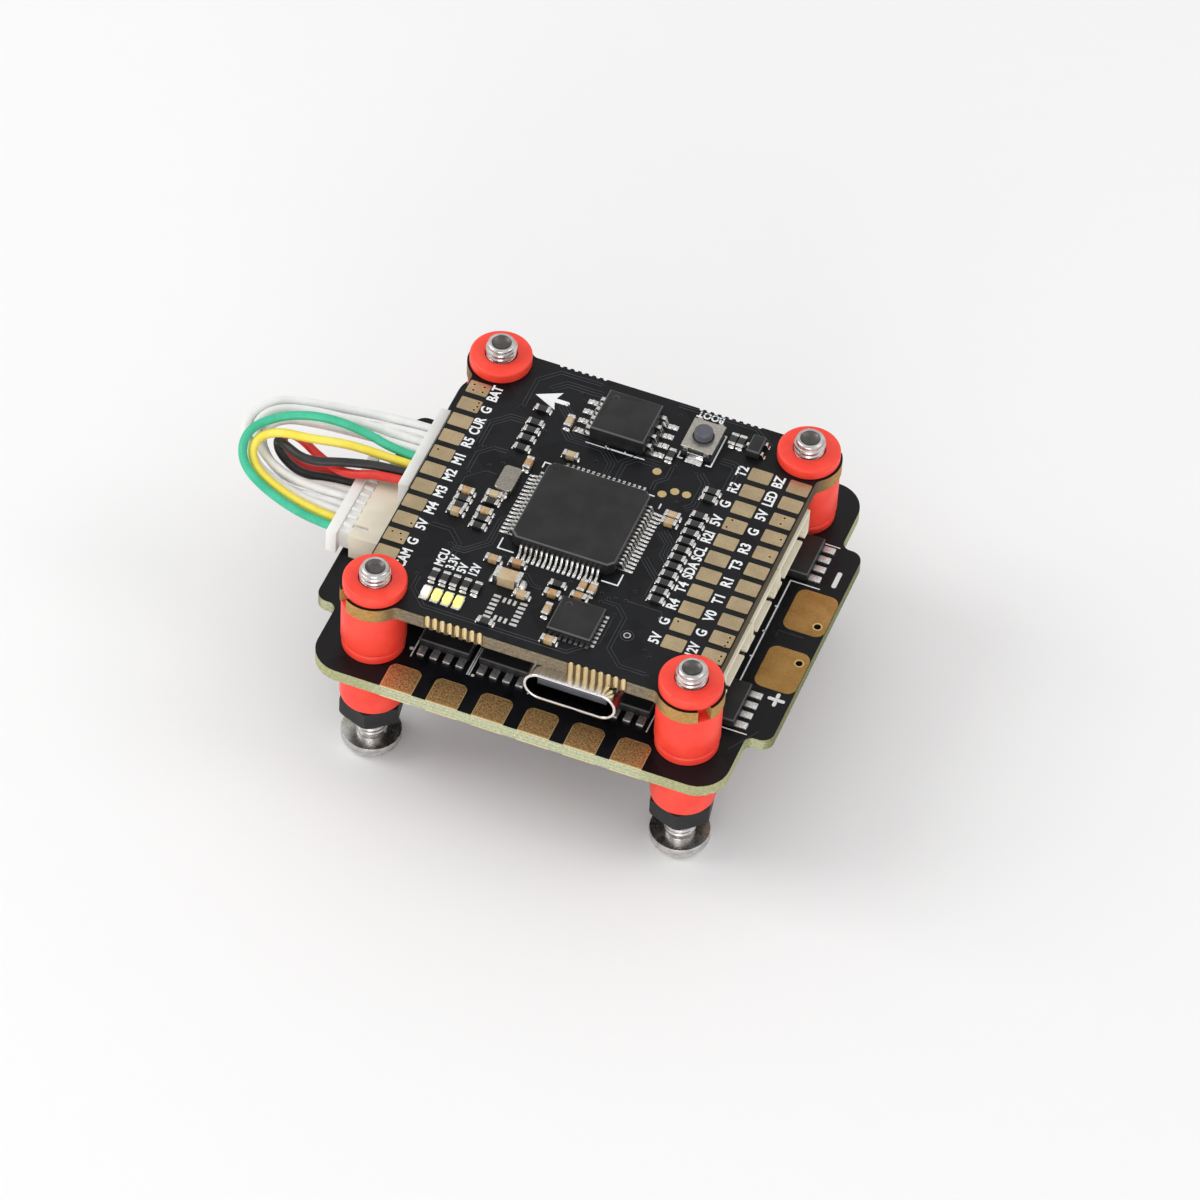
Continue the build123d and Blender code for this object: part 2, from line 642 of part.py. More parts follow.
# ---------------------------------------------------------------- harness
# each wire: its way in the flight board's plug, counted from the back, the middle points of its
# route, and its way in the speed controller's plug, counted from the front. A middle point is
# (reach beyond the lower board's edge, place along Y, rise above the lower plug's wires as a
# share of the distance between the two plugs)
wire_paths = {
    "white_wire_a": (0, ((5.2, 6.7, 1.05), (9.8, 5.9, 1.08), (13.8, 5.0, 1.05), (15.6, 1.9, 0.78),
                           (13.6, -1.2, 0.44), (9.8, -2.7, 0.14)), 2),
    "white_wire_b": (1, ((5.2, 6.1, 0.71), (9.6, 5.4, 0.78), (13.4, 4.5, 0.75), (15.1, 1.9, 0.47),
                           (13.2, -1.0, 0.10), (9.5, -2.1, -0.20)), 3),
    "white_wire_c": (2, ((5.1, 5.4, 1.05), (9.5, 4.9, 1.12), (13.1, 4.0, 1.08), (14.5, 1.9, 0.85),
                           (12.7, -0.4, 0.47), (9.3, -1.7, 0.24)), 4),
    "white_wire_d": (3, ((5.0, 4.9, 0.71), (9.3, 4.4, 0.78), (12.6, 3.7, 0.75), (13.9, 1.9, 0.41),
                           (12.1, -0.1, 0.07), (9.2, -1.1, -0.17)), 5),
    "green_wire": (4, ((4.4, 3.7, 1.39), (8.4, 3.5, 1.53), (12.0, 2.1, 1.49), (14.4, -0.3, 1.25),
                         (13.6, -3.1, 0.81), (10.2, -4.7, 0.47)), 0),
    "yellow_wire": (5, ((4.8, 2.1, 1.19), (8.6, 0.9, 1.32), (11.6, 0.7, 1.29), (13.4, -0.4, 1.05),
                          (13.0, -2.1, 0.68), (10.6, -3.6, 0.51)), 1),
    "black_wire": (6, ((4.6, 0.4, 0.98), (8.0, -0.9, 0.95), (10.7, 0.3, 0.95), (12.0, 1.6, 0.61),
                         (11.5, 1.1, 0.10), (8.8, 0.0, -0.10)), 6),
    "red_wire": (7, ((4.4, -0.2, 0.61), (7.6, 1.3, 0.47), (10.3, 2.9, 0.51), (12.1, 3.4, 0.24),
                       (11.8, 2.7, -0.27), (9.2, 1.3, -0.37)), 7),
}
fc_wire_level = fc_bottom - axis_height
esc_wire_level = esc_top + axis_height
plug_reach = plug_neck + plug_flange_depth      # mouth of a housing to its plug's outer face
fc_plug_face = fc_mouth_x - plug_reach
esc_plug_face = esc_mouth_x - plug_reach
straight_end = 1.8                              # straight part of a wire outside its plug


def wire_points(first_way, middle, last_way):
    rise = fc_wire_level - esc_wire_level
    start = header_y - (first_way - (harness_pins - 1) / 2) * pin_pitch
    end = esc_header_y + (last_way - (harness_pins - 1) / 2) * pin_pitch
    points = [(fc_plug_face + wire_bore_depth, start, fc_wire_level),
              (fc_plug_face - straight_end, start, fc_wire_level)]
    points += [(-esc_half - reach, y, esc_wire_level + share * rise) for reach, y, share in middle]
    points += [(esc_plug_face - straight_end, end, esc_wire_level),
               (esc_plug_face + wire_bore_depth, end, esc_wire_level)]
    return points


def bend_radii(points):
    # the largest arc that each pair of runs allows
    spots = [Vector(*point) for point in points]
    radii = []
    for before, here, after in zip(spots, spots[1:], spots[2:]):
        turn = (here - before).get_angle(after - here)
        shorter = min((here - before).length, (after - here).length)
        radii.append(0.45 * shorter / tan(radians(turn) / 2))
    return radii


for name, (first_way, middle, last_way) in wire_paths.items():
    points = wire_points(first_way, middle, last_way)
    radii = bend_radii(points)
    with BuildPart() as wire:
        with BuildLine() as route:
            FilletPolyline(*points, radius=radii)
        with BuildSketch(Plane(origin=points[0], z_dir=route.line % 0)):
            Circle(wire_diameter / 2)
        sweep()
    length = sum(edge.length for edge in route.edges())
    straight_volume = pi * (wire_diameter / 2) ** 2 * length
    print(name, "length", round(length, 1), "radii", [round(r, 1) for r in radii],
          "volume over section times length", round(wire.part.volume / straight_volume, 4))
    save(name, wire)
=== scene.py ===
from math import cos, pi, radians, sin

import bpy
from mathutils import Matrix, Vector


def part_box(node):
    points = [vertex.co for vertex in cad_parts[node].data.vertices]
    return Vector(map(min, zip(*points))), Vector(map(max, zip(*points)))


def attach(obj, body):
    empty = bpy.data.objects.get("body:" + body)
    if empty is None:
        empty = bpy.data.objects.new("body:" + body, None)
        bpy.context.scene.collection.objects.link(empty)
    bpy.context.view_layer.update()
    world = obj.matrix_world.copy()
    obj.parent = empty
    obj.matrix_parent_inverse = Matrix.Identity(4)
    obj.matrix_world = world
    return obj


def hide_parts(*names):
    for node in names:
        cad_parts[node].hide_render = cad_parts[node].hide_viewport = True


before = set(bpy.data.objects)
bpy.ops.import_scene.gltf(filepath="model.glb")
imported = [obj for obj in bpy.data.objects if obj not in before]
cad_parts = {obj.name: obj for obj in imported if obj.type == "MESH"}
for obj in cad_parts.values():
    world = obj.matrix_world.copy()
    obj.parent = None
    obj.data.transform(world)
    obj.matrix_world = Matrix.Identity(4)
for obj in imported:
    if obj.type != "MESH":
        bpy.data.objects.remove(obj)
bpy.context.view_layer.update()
mm = 0.001
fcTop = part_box("fc_board")[1].z / mm
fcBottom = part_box("fc_board")[0].z / mm
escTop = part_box("esc_board")[1].z / mm
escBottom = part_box("esc_board")[0].z / mm
holePitch = 30.5
corners = [(x * holePitch / 2, y * holePitch / 2) for x in (-1, 1) for y in (-1, 1)]
print("frame loaded,", len(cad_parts), "nodes")

# camera: a long lens, seen from the front right and above
view = {"target": (4.041, -8.833, fcTop), "distance": 620.41, "azimuth": 18.737,
        "elevation": 48.098, "roll": 3.478, "lens": 206.595}


def setCamera():
    azimuth, elevation, roll = (radians(view[k]) for k in ("azimuth", "elevation", "roll"))
    back = Vector((sin(azimuth) * cos(elevation), -cos(azimuth) * cos(elevation), sin(elevation)))
    right = Vector((0, 0, 1)).cross(back).normalized()
    up = back.cross(right)
    across = right * cos(roll) + up * sin(roll)
    above = up * cos(roll) - right * sin(roll)
    data = bpy.data.cameras.new("camera")
    data.lens = view["lens"]
    data.sensor_width = 36
    data.clip_start = 0.01
    camera = bpy.data.objects.new("camera", data)
    bpy.context.scene.collection.objects.link(camera)
    turn = Matrix((across, above, back)).transposed().to_4x4()
    camera.matrix_world = Matrix.Translation((Vector(view["target"]) + back * view["distance"]) * mm) @ turn
    bpy.context.scene.camera = camera


setCamera()


# choosing and shaping, as by hand

def clearSelection():
    if bpy.context.object and bpy.context.object.mode != "OBJECT":
        bpy.ops.object.mode_set(mode="OBJECT")
    bpy.ops.object.select_all(action="DESELECT")


def choose(*pieces):
    clearSelection()
    for piece in pieces:
        piece.select_set(True)
    bpy.context.view_layer.objects.active = pieces[0]


def settle(piece):
    # the place and turn go into the mesh, the object stays at the origin
    choose(piece)
    bpy.ops.object.transform_apply(location=True, rotation=True, scale=True)
    return piece


def merged(pieces, name):
    choose(*pieces)
    if len(pieces) > 1:
        bpy.ops.object.join()
    pieces[0].name = name
    return settle(pieces[0])


def pick(piece, kind, test):
    # faces are tested by centre and normal, edges by their two ends; all in millimetres
    choose(piece)
    bpy.ops.object.mode_set(mode="EDIT")
    bpy.ops.mesh.select_mode(type=kind)
    bpy.ops.mesh.select_all(action="DESELECT")
    bpy.ops.object.mode_set(mode="OBJECT")
    if kind == "FACE":
        for face in piece.data.polygons:
            face.select = bool(test(face.center / mm, face.normal))
    else:
        points = [v.co / mm for v in piece.data.vertices]
        for edge in piece.data.edges:
            edge.select = bool(test(points[edge.vertices[0]], points[edge.vertices[1]]))
    bpy.ops.object.mode_set(mode="EDIT")


def leaveEdit():
    bpy.ops.object.mode_set(mode="OBJECT")


def bevelEdges(piece, width, segments, test):
    pick(piece, "EDGE", test)
    bpy.ops.mesh.bevel(offset=width * mm, segments=segments, affect="EDGES")
    leaveEdit()
    return piece


def bevelRim(piece, level, width, segments):
    # all the edges that lie at one level
    return bevelEdges(piece, width, segments,
                      lambda a, b: abs(a.z - level) < 0.01 and abs(b.z - level) < 0.01)


def sinkTop(piece, inset, depth):
    # a shallow dish in the upper face
    pick(piece, "FACE", lambda centre, normal: normal.z > 0.9)
    bpy.ops.mesh.inset(thickness=inset * mm)
    bpy.ops.transform.translate(value=(0, 0, -depth * mm))
    leaveEdit()
    return piece


def raiseSheet(thickness):
    # in edit mode: a flat sheet becomes a plate
    bpy.ops.mesh.select_all(action="SELECT")
    bpy.ops.mesh.extrude_region_move(TRANSFORM_OT_translate={"value": (0, 0, thickness * mm)})
    bpy.ops.mesh.select_all(action="SELECT")
    bpy.ops.mesh.normals_make_consistent(inside=False)
    leaveEdit()


def box(place, size, align=0):
    # align -1 puts the place under the box, 1 on top of it
    bpy.ops.object.select_all(action="DESELECT")
    middle = (place[0], place[1], place[2] - align * size[2] / 2)
    bpy.ops.mesh.primitive_cube_add(size=1, location=[v * mm for v in middle])
    piece = bpy.context.object
    piece.scale = [v * mm for v in size]
    return settle(piece)


def drum(place, radius, height, sides=48):
    # stands on its place
    bpy.ops.object.select_all(action="DESELECT")
    bpy.ops.mesh.primitive_cylinder_add(vertices=sides, radius=radius * mm, depth=height * mm,
                                        location=(place[0] * mm, place[1] * mm, (place[2] + height / 2) * mm))
    return settle(bpy.context.object)


def applyModifier(piece, kind, **settings):
    choose(piece)
    modifier = piece.modifiers.new(kind.lower(), kind)
    for key, setting in settings.items():
        setattr(modifier, key, setting)
    bpy.ops.object.modifier_apply(modifier=modifier.name)
    return piece


def combine(piece, other, operation):
    applyModifier(piece, "BOOLEAN", operation=operation, object=other, solver="EXACT")
    bpy.data.objects.remove(other)


def soften(piece, width, segments=2, angle=35):
    applyModifier(piece, "BEVEL", width=width * mm, segments=segments, limit_method="ANGLE",
                  angle_limit=radians(angle), use_clamp_overlap=True)
    return smooth(piece, angle)


def smooth(piece, angle=35):
    choose(piece)
    bpy.ops.object.shade_smooth_by_angle(angle=radians(angle))
    return piece


def trimCorners(piece, width, tall, segments=1):
    # cuts or rounds square corners: upright or slanting edges that are taller than the given height
    return bevelEdges(piece, width, segments,
                      lambda a, b: abs(a.z - b.z) > tall and abs(abs(a.x - b.x) - abs(a.y - b.y)) < 0.001)


def copyTo(piece, places, name):
    # places are (x, y, z, turn about Z in degrees), in millimetres; the first piece is used up
    copies = []
    for x, y, z, turn in places:
        choose(piece)
        bpy.ops.object.duplicate(linked=False)
        twin = bpy.context.object
        twin.location = (x * mm, y * mm, z * mm)
        twin.rotation_euler = (0, 0, radians(turn))
        copies.append(twin)
    bpy.data.objects.remove(piece)
    return merged(copies, name)


def weldedCopy(node):
    # a copy of a CAD node, left in edit mode
    choose(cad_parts[node])
    bpy.ops.object.duplicate(linked=False)
    twin = bpy.context.object
    for key in list(twin.keys()):
        del twin[key]
    bpy.ops.object.mode_set(mode="EDIT")
    bpy.ops.mesh.select_all(action="SELECT")
    bpy.ops.mesh.remove_doubles(threshold=0.000001)
    return twin


def fromCad(node, name, width=0.0, angle=35):
    # a CAD node with its flat faces made whole and its edges broken
    piece = weldedCopy(node)
    bpy.ops.mesh.dissolve_limited(angle_limit=radians(2))
    leaveEdit()
    piece.parent = None
    piece.name = name
    return soften(piece, width, 2, angle) if width else smooth(piece, angle)


def keep(piece, body, slot, material, *nodes):
    piece.data.materials.clear()
    piece.data.materials.append(material)
    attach(piece, body)
    if nodes:
        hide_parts(*nodes)
    return piece


def keepCad(node, name, width, slot, material, angle=35):
    return keep(fromCad(node, name, width, angle), "stack", slot, material, node)


def paint(material, *nodes):
    for node in nodes:
        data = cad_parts[node].data
        data.materials.clear()
        data.materials.append(material)


def loosePieces(node):
    # the box of each separate solid in a CAD node, in millimetres
    weldedCopy(node)
    bpy.ops.mesh.separate(type="LOOSE")
    leaveEdit()
    found = []
    for part in list(bpy.context.selected_objects):
        points = [v.co / mm for v in part.data.vertices]
        low = Vector([min(p[i] for p in points) for i in range(3)])
        high = Vector([max(p[i] for p in points) for i in range(3)])
        found.append((low, high))
        bpy.data.objects.remove(part)
    return sorted(found, key=lambda pair: tuple(round(v, 3) for v in pair[0]))


# shader maths

class Value:
    def __init__(self, recipe, socket):
        self.recipe = recipe
        self.socket = socket

    def maths(self, operation, first, second=0.0):
        return self.recipe.node("ShaderNodeMath", {"operation": operation}, {0: first, 1: second})

    def __add__(self, other):
        return self.maths("ADD", self, other)

    def __sub__(self, other):
        return self.maths("SUBTRACT", self, other)

    def __rsub__(self, other):
        return self.maths("SUBTRACT", other, self)

    def __mul__(self, other):
        return self.maths("MULTIPLY", self, other)

    def __truediv__(self, other):
        return self.maths("DIVIDE", self, other)

    def __lt__(self, other):
        return self.maths("LESS_THAN", self, other)

    def __gt__(self, other):
        return self.maths("GREATER_THAN", self, other)

    def __abs__(self):
        return self.maths("ABSOLUTE", self)

    def sine(self):
        return self.maths("SINE", self)

    def larger(self, other):
        return self.maths("MAXIMUM", self, other)

    def smaller(self, other):
        return self.maths("MINIMUM", self, other)

    def fraction(self):
        return self.maths("FRACT", self)

    __radd__ = __add__
    __rmul__ = __mul__


class Recipe:
    def __init__(self, name, **constants):
        self.material = bpy.data.materials.new(name)
        self.material.use_nodes = True
        self.tree = self.material.node_tree
        self.shader = self.tree.nodes["Principled BSDF"]
        for key, constant in constants.items():
            self.shader.inputs[key.replace("_", " ")].default_value = constant
        self.place = self.node("ShaderNodeVectorMath", {"operation": "SCALE"},
                               {0: self.node("ShaderNodeTexCoord", output="Object"), "Scale": 1000.0})
        self.x, self.y, self.z = (self.part(self.place, axis) for axis in "XYZ")

    def node(self, kind, settings=None, sockets=None, output=0):
        made = self.tree.nodes.new(kind)
        for key, setting in (settings or {}).items():
            if key == "stops":
                for number, (position, colour) in enumerate(setting):
                    stops = made.color_ramp.elements
                    stop = stops[number] if number < 2 else stops.new(position)
                    stop.position = position
                    stop.color = (*colour, 1)
            else:
                setattr(made, key, setting)
        for key, given in (sockets or {}).items():
            if isinstance(given, Value):
                self.tree.links.new(given.socket, made.inputs[key])
            elif isinstance(given, tuple) and len(given) == 3 and made.inputs[key].type == "RGBA":
                made.inputs[key].default_value = (*given, 1)
            else:
                made.inputs[key].default_value = given
        return Value(self, made.outputs[output])

    def part(self, vector, axis):
        return self.node("ShaderNodeSeparateXYZ", {}, {0: vector}, axis)

    def normal(self, axis="Z"):
        return self.part(self.node("ShaderNodeNewGeometry", output="Normal"), axis)

    def noise(self, scale, detail=2.0, roughness=0.5, vector=None):
        return self.node("ShaderNodeTexNoise", {}, {"Vector": vector or self.place, "Scale": scale,
                                                    "Detail": detail, "Roughness": roughness})

    def stretched(self, x, y, z):
        return self.node("ShaderNodeVectorMath", {"operation": "MULTIPLY"}, {0: self.place, 1: (x, y, z)})

    def cells(self, scale):
        return self.node("ShaderNodeTexVoronoi", {"distance": "MANHATTAN"},
                         {"Vector": self.place, "Scale": scale}, "Distance")

    def step(self, value, low, high):
        return self.node("ShaderNodeMapRange", {"interpolation_type": "SMOOTHSTEP"},
                         {"Value": value, "From Min": low, "From Max": high})

    def between(self, value, low, high):
        # 0 gives low and 1 gives high
        return value * (high - low) + low

    def mix(self, factor, first, second):
        return self.node("ShaderNodeMix", {"data_type": "RGBA"}, {0: factor, 6: first, 7: second}, 2)

    def bump(self, height, depth, strength=1.0):
        return self.node("ShaderNodeBump", {},
                         {"Height": height, "Distance": depth * mm, "Strength": strength})

    def use(self, **links):
        for key, value in links.items():
            self.tree.links.new(value.socket, self.shader.inputs[key.replace("_", " ")])
        return self.material


def pickedRow(recipe, middle, pitch, count, half):
    # 1 within half of each of a row of places along X
    start = middle - pitch * (count - 1) / 2
    across = abs(((recipe.x - (start - pitch / 2)) / pitch).fraction() - 0.5) * pitch
    inside = (recipe.x > start - pitch / 2) * (recipe.x < start + pitch * (count - 0.5))
    return (across < half) * inside


def boardMaterial(name, edgeLow, edgeHigh, edgeFleck, edgeShade, edgeEar, edgeGlow, plated):
    # dark mask over copper on the flat faces, bare glass laminate round the edge
    recipe = Recipe(name, Specular_IOR_Level=0.2)
    blotch = recipe.noise(0.35, 3.0)
    fine = recipe.noise(9.0, 3.0)
    pour = recipe.step(recipe.cells(0.28), 0.62, 0.66)
    mask = recipe.mix(pour, (0.0030, 0.0032, 0.0042), (0.0062, 0.0065, 0.0078))
    mask = recipe.mix(recipe.step(blotch, 0.35, 0.75) * 0.5, mask, (0.009, 0.0095, 0.0115))
    weave = recipe.noise(3.2, 5.0, 0.7, recipe.stretched(1.0, 1.0, 3.0))
    fibre = recipe.noise(1.0, 4.0, 0.75, recipe.stretched(5.0, 5.0, 14.0))
    layer = (recipe.z * 13.0).sine() * 0.03
    laminate = recipe.mix(recipe.step(weave + layer, 0.3, 0.72), edgeLow, edgeHigh)
    laminate = recipe.mix(recipe.step(fibre, 0.5, 0.68) * 0.75, laminate, edgeFleck)
    ears = recipe.step(abs(recipe.x).smaller(abs(recipe.y)), 11.5, 14.5)
    laminate = recipe.mix(ears, laminate, recipe.mix(recipe.step(weave, 0.3, 0.7), edgeEar, edgeGlow))
    # edge faces turned along X get a darker laminate colour: painted shade on the board's sides
    flank = recipe.step(abs(recipe.normal("X")), 0.2, 0.8)
    shaded = recipe.mix(recipe.step(weave, 0.35, 0.65), edgeShade, edgeLow)
    laminate = recipe.mix(flank * (1 - ears), laminate, shaded)
    # the walls of the two battery holes are painted near black: painted shade inside the holes
    batteryHoleShade = (recipe.x > 20.9) * (recipe.x < 21.8) * (abs(recipe.y) < 2.95)
    laminate = recipe.mix(batteryHoleShade, laminate, (0.02, 0.013, 0.006))
    isEdge = 1 - recipe.step(abs(recipe.normal()), 0.4, 0.6)
    colour = recipe.mix(isEdge, mask, laminate)
    rough = recipe.between(fine, 0.30, 0.46) + isEdge * 0.22
    gold = plated(recipe) * isEdge
    if plated is groovePlating:
        # the edge round each groove is painted dark brown: painted shade on the laminate between the grooves
        grooveShade = plated(recipe, grooves["grooveShade"]) * isEdge * 0.85
        colour = recipe.mix(grooveShade, colour, (0.09, 0.05, 0.013))
    shine = recipe.mix(recipe.noise(6.0, 4.0, 0.6), (0.80, 0.62, 0.30), (1.0, 0.90, 0.66))
    colour = recipe.mix(gold, colour, shine)
    rough = rough * (1 - gold) + gold * 0.3
    height = pour * 0.5 + fine * 0.06 + isEdge * weave * 0.8
    return recipe.use(Base_Color=colour, Roughness=rough, Metallic=gold,
                      Normal=recipe.bump(height, 0.02, 0.6))


# plated half holes: each row's middle and count, and the half width of the painted shade round each groove
grooves = {"pitch": 0.72, "half": 0.21, "grooveShade": 0.37,
           "front": ((-6.9, 8), (6.95, 8)), "back": ((-7.65, 7), (6.95, 9))}


def groovePlating(recipe, half=grooves["half"]):
    rows = {}
    for side in ("front", "back"):
        left, right = (pickedRow(recipe, middle, grooves["pitch"], count, half)
                       for middle, count in grooves[side])
        rows[side] = left.larger(right)
    front = recipe.y < 0
    return (rows["front"] * front).larger(rows["back"] * (1 - front)) * (abs(recipe.y) > 16.6)


motorPads = {"wide": 3.1, "long": 3.0, "pitch": 4.46, "count": 6, "corner": 0.65, "middle": 18.5}


def padPlating(recipe, half=1.5):
    # a thin gold line where each motor pad meets the edge
    lips = (recipe.z > escTop - 0.07).larger(recipe.z < escBottom + 0.07)
    row = pickedRow(recipe, 0.0, motorPads["pitch"], motorPads["count"], half)
    return row * lips * (abs(recipe.y) > 19.9)


def goldMaterial(name, low, high, rough, grain, rim=None):
    recipe = Recipe(name, Metallic=1.0)
    fine = recipe.noise(grain, 4.0, 0.65)
    broad = recipe.noise(0.5, 2.0)
    colour = recipe.mix(recipe.step(fine * 0.6 + broad * 0.4, 0.35, 0.65), low, high)
    # the upright sides of the pads get the lighter rim colour: a painted highlight along their edges
    if rim:
        edge = 1 - recipe.step(abs(recipe.normal()), 0.5, 0.9)
        colour = recipe.mix(edge, colour, rim)
    return recipe.use(Base_Color=colour, Roughness=recipe.between(fine, rough - 0.1, rough + 0.12),
                      Normal=recipe.bump(fine, 0.012, 0.5))


def padRimMaterial(name, low, high, rough, grain):
    # granular plating with a bright line painted round each pad, a painted highlight
    recipe = Recipe(name, Metallic=0.7, Specular_IOR_Level=0.5)
    fine = recipe.noise(grain, 6.0, 0.85)
    across = pickedRow(recipe, 0.0, motorPads["pitch"], motorPads["count"], 1.47)
    reach = (abs(recipe.y) < 19.9) * (abs(recipe.y) > 17.08)
    rim = 1 - across * reach
    colour = recipe.mix(recipe.step(fine, 0.38, 0.62), low, high)
    # the rim colour is a painted highlight along each pad's border and sides
    colour = recipe.mix(rim * 0.8, colour, (0.92, 0.68, 0.32))
    return recipe.use(Base_Color=colour, Roughness=recipe.between(fine, rough - 0.12, rough + 0.12),
                      Normal=recipe.bump(fine, 0.03, 0.8))


def tinMaterial(name, low, high, rough):
    recipe = Recipe(name, Metallic=1.0)
    fine = recipe.noise(5.0, 3.0, 0.6)
    colour = recipe.mix(recipe.step(fine, 0.3, 0.7), low, high)
    return recipe.use(Base_Color=colour, Roughness=recipe.between(fine, rough - 0.08, rough + 0.1),
                      Normal=recipe.bump(recipe.noise(1.5, 2.0), 0.008, 0.3))


def mouldedMaterial(name, low, high, rough, grain, depth, sheen=0.35, bevelHighlight=None, **constants):
    # plastic and epoxy: slight mottling, a fine spark-eroded grain and a few scuffs
    recipe = Recipe(name, Specular_IOR_Level=sheen, **constants)
    broad = recipe.noise(0.45, 3.0)
    fine = recipe.noise(grain, 4.0, 0.6)
    scuff = recipe.step(recipe.noise(1.0, 5.0, 0.7, recipe.stretched(0.6, 5.0, 1.0)), 0.62, 0.72)
    colour = recipe.mix(recipe.step(broad, 0.3, 0.7), low, high)
    # bevelled faces get a lighter colour: a painted highlight along the edges
    if bevelHighlight:
        up = recipe.normal()
        bevelled = recipe.step(up, 0.25, 0.5) * (1 - recipe.step(up, 0.88, 0.97))
        colour = recipe.mix(bevelled, colour, bevelHighlight)
    return recipe.use(Base_Color=colour,
                      Roughness=recipe.between(fine, rough - 0.07, rough + 0.07) - scuff * 0.08,
                      Normal=recipe.bump(fine, depth, 0.6))


def rubberMaterial():
    # soft silicone: satin skin, faint dust and flow marks
    recipe = Recipe("redSilicone", Specular_IOR_Level=0.45, Subsurface_Weight=0.12,
                    Subsurface_Scale=0.0012, Subsurface_Radius=(1.0, 0.25, 0.15))
    broad = recipe.noise(0.4, 3.0)
    fine = recipe.noise(7.0, 4.0, 0.6)
    dust = recipe.step(recipe.noise(14.0, 2.0), 0.70, 0.78)
    colour = recipe.mix(recipe.step(broad, 0.3, 0.7), (0.86, 0.043, 0.024), (0.94, 0.066, 0.037))
    colour = recipe.mix(dust * 0.25, colour, (0.95, 0.30, 0.25))
    return recipe.use(Base_Color=colour, Roughness=recipe.between(fine, 0.38, 0.52) + dust * 0.1,
                      Normal=recipe.bump(fine * 0.5 + broad, 0.012, 0.35))


def screwMaterial():
    # bright steel; the hollow of each tip is painted dark as painted shade, and the thread's roots are dark
    recipe = Recipe("screwSteel", Metallic=1.0)
    fine = recipe.noise(1.4, 2.0, 0.5)
    rings = recipe.noise(1.0, 2.0, 0.5, recipe.stretched(0.4, 0.4, 3.0))
    streaks = recipe.step(fine * 0.5 + rings * 0.5, 0.3, 0.7)
    colour = recipe.mix(streaks, (0.48, 0.46, 0.45), (0.74, 0.72, 0.70))
    across, along = (abs(abs(axis) - holePitch / 2) for axis in (recipe.x, recipe.y))
    # the top of each tip is painted near black: painted shade in its hollow
    dip = (across * across + along * along < 0.9) * (recipe.z > fcTop + 2.1)
    top = dip * recipe.between(recipe.noise(1.2, 2.0), 0.75, 1.0)
    colour = recipe.mix(top, colour, (0.055, 0.05, 0.048))
    return recipe.use(Base_Color=colour, Roughness=recipe.between(fine, 0.20, 0.34) + top * 0.15,
                      Normal=recipe.bump(rings, 0.002, 0.2))


def ceramicMaterial():
    # capacitor bodies: brown ceramic with paler patches
    recipe = Recipe("ceramicTan", Specular_IOR_Level=0.55)
    fine = recipe.noise(4.0, 4.0, 0.6)
    kind = recipe.noise(0.22, 1.0)
    colour = recipe.mix(recipe.step(kind, 0.4, 0.6), (0.42, 0.23, 0.09), (0.50, 0.40, 0.25))
    colour = recipe.mix(recipe.step(fine, 0.4, 0.7) * 0.5, colour, (0.62, 0.48, 0.30))
    return recipe.use(Base_Color=colour, Roughness=recipe.between(fine, 0.28, 0.45),
                      Normal=recipe.bump(fine, 0.01, 0.4))


def lampMaterial():
    # clear resin over a yellow phosphor; the first lamp is unlit white, with a faint painted glow
    recipe = Recipe("lampResin", Specular_IOR_Level=0.6, Emission_Strength=0.55)
    fine = recipe.noise(5.0, 3.0)
    lit = recipe.x > -10.12
    glow = recipe.mix(recipe.step(fine, 0.3, 0.8), (0.95, 0.78, 0.10), (1.0, 0.92, 0.38))
    colour = recipe.mix(lit, (0.93, 0.88, 0.80), glow)
    # the emission on the unlit first lamp is a painted glow
    return recipe.use(Base_Color=colour, Emission_Color=recipe.mix(lit, (0.35, 0.32, 0.28), glow),
                      Roughness=recipe.between(fine, 0.15, 0.3), Normal=recipe.bump(fine, 0.01, 0.3))


def wireMaterial(name, low, high):
    # silicone insulation: satin, faintly blotched, with dust in the skin
    recipe = Recipe(name, Specular_IOR_Level=0.45)
    broad = recipe.noise(0.6, 3.0)
    fine = recipe.noise(8.0, 4.0, 0.6)
    colour = recipe.mix(recipe.step(broad * 0.7 + fine * 0.3, 0.32, 0.68), low, high)
    return recipe.use(Base_Color=colour, Roughness=recipe.between(fine, 0.36, 0.54),
                      Normal=recipe.bump(fine, 0.01, 0.35))


usb = {"middle": 4.85, "height": 18.0, "foot": (0.9, 1.6, 0.35), "reach": 4.85, "feet": (-15.2, -11.9)}


def shellMaterial():
    # bright plated steel of the USB shell, drawn along its depth, with painted shade inside its mouth
    recipe = Recipe("usbSteel", Metallic=1.0)
    drawn = recipe.noise(1.0, 4.0, 0.6, recipe.stretched(7.0, 0.7, 7.0))
    fine = recipe.noise(8.0, 3.0)
    colour = recipe.mix(recipe.step(drawn, 0.3, 0.7), (0.70, 0.68, 0.67), (0.90, 0.88, 0.87))
    # inside the shell's mouth the steel is painted near black: painted shade
    side = (abs(recipe.x - usb["middle"]) - 2.87).larger(0.0)
    rise = recipe.z - usb["height"]
    mouthShade = (side * side + rise * rise < 1.95) * (recipe.y > -18.12)
    colour = recipe.mix(mouthShade, colour, (0.085, 0.085, 0.09))
    return recipe.use(Base_Color=colour, Roughness=recipe.between(drawn, 0.14, 0.30),
                      Normal=recipe.bump(drawn + fine * 0.3, 0.006, 0.4))


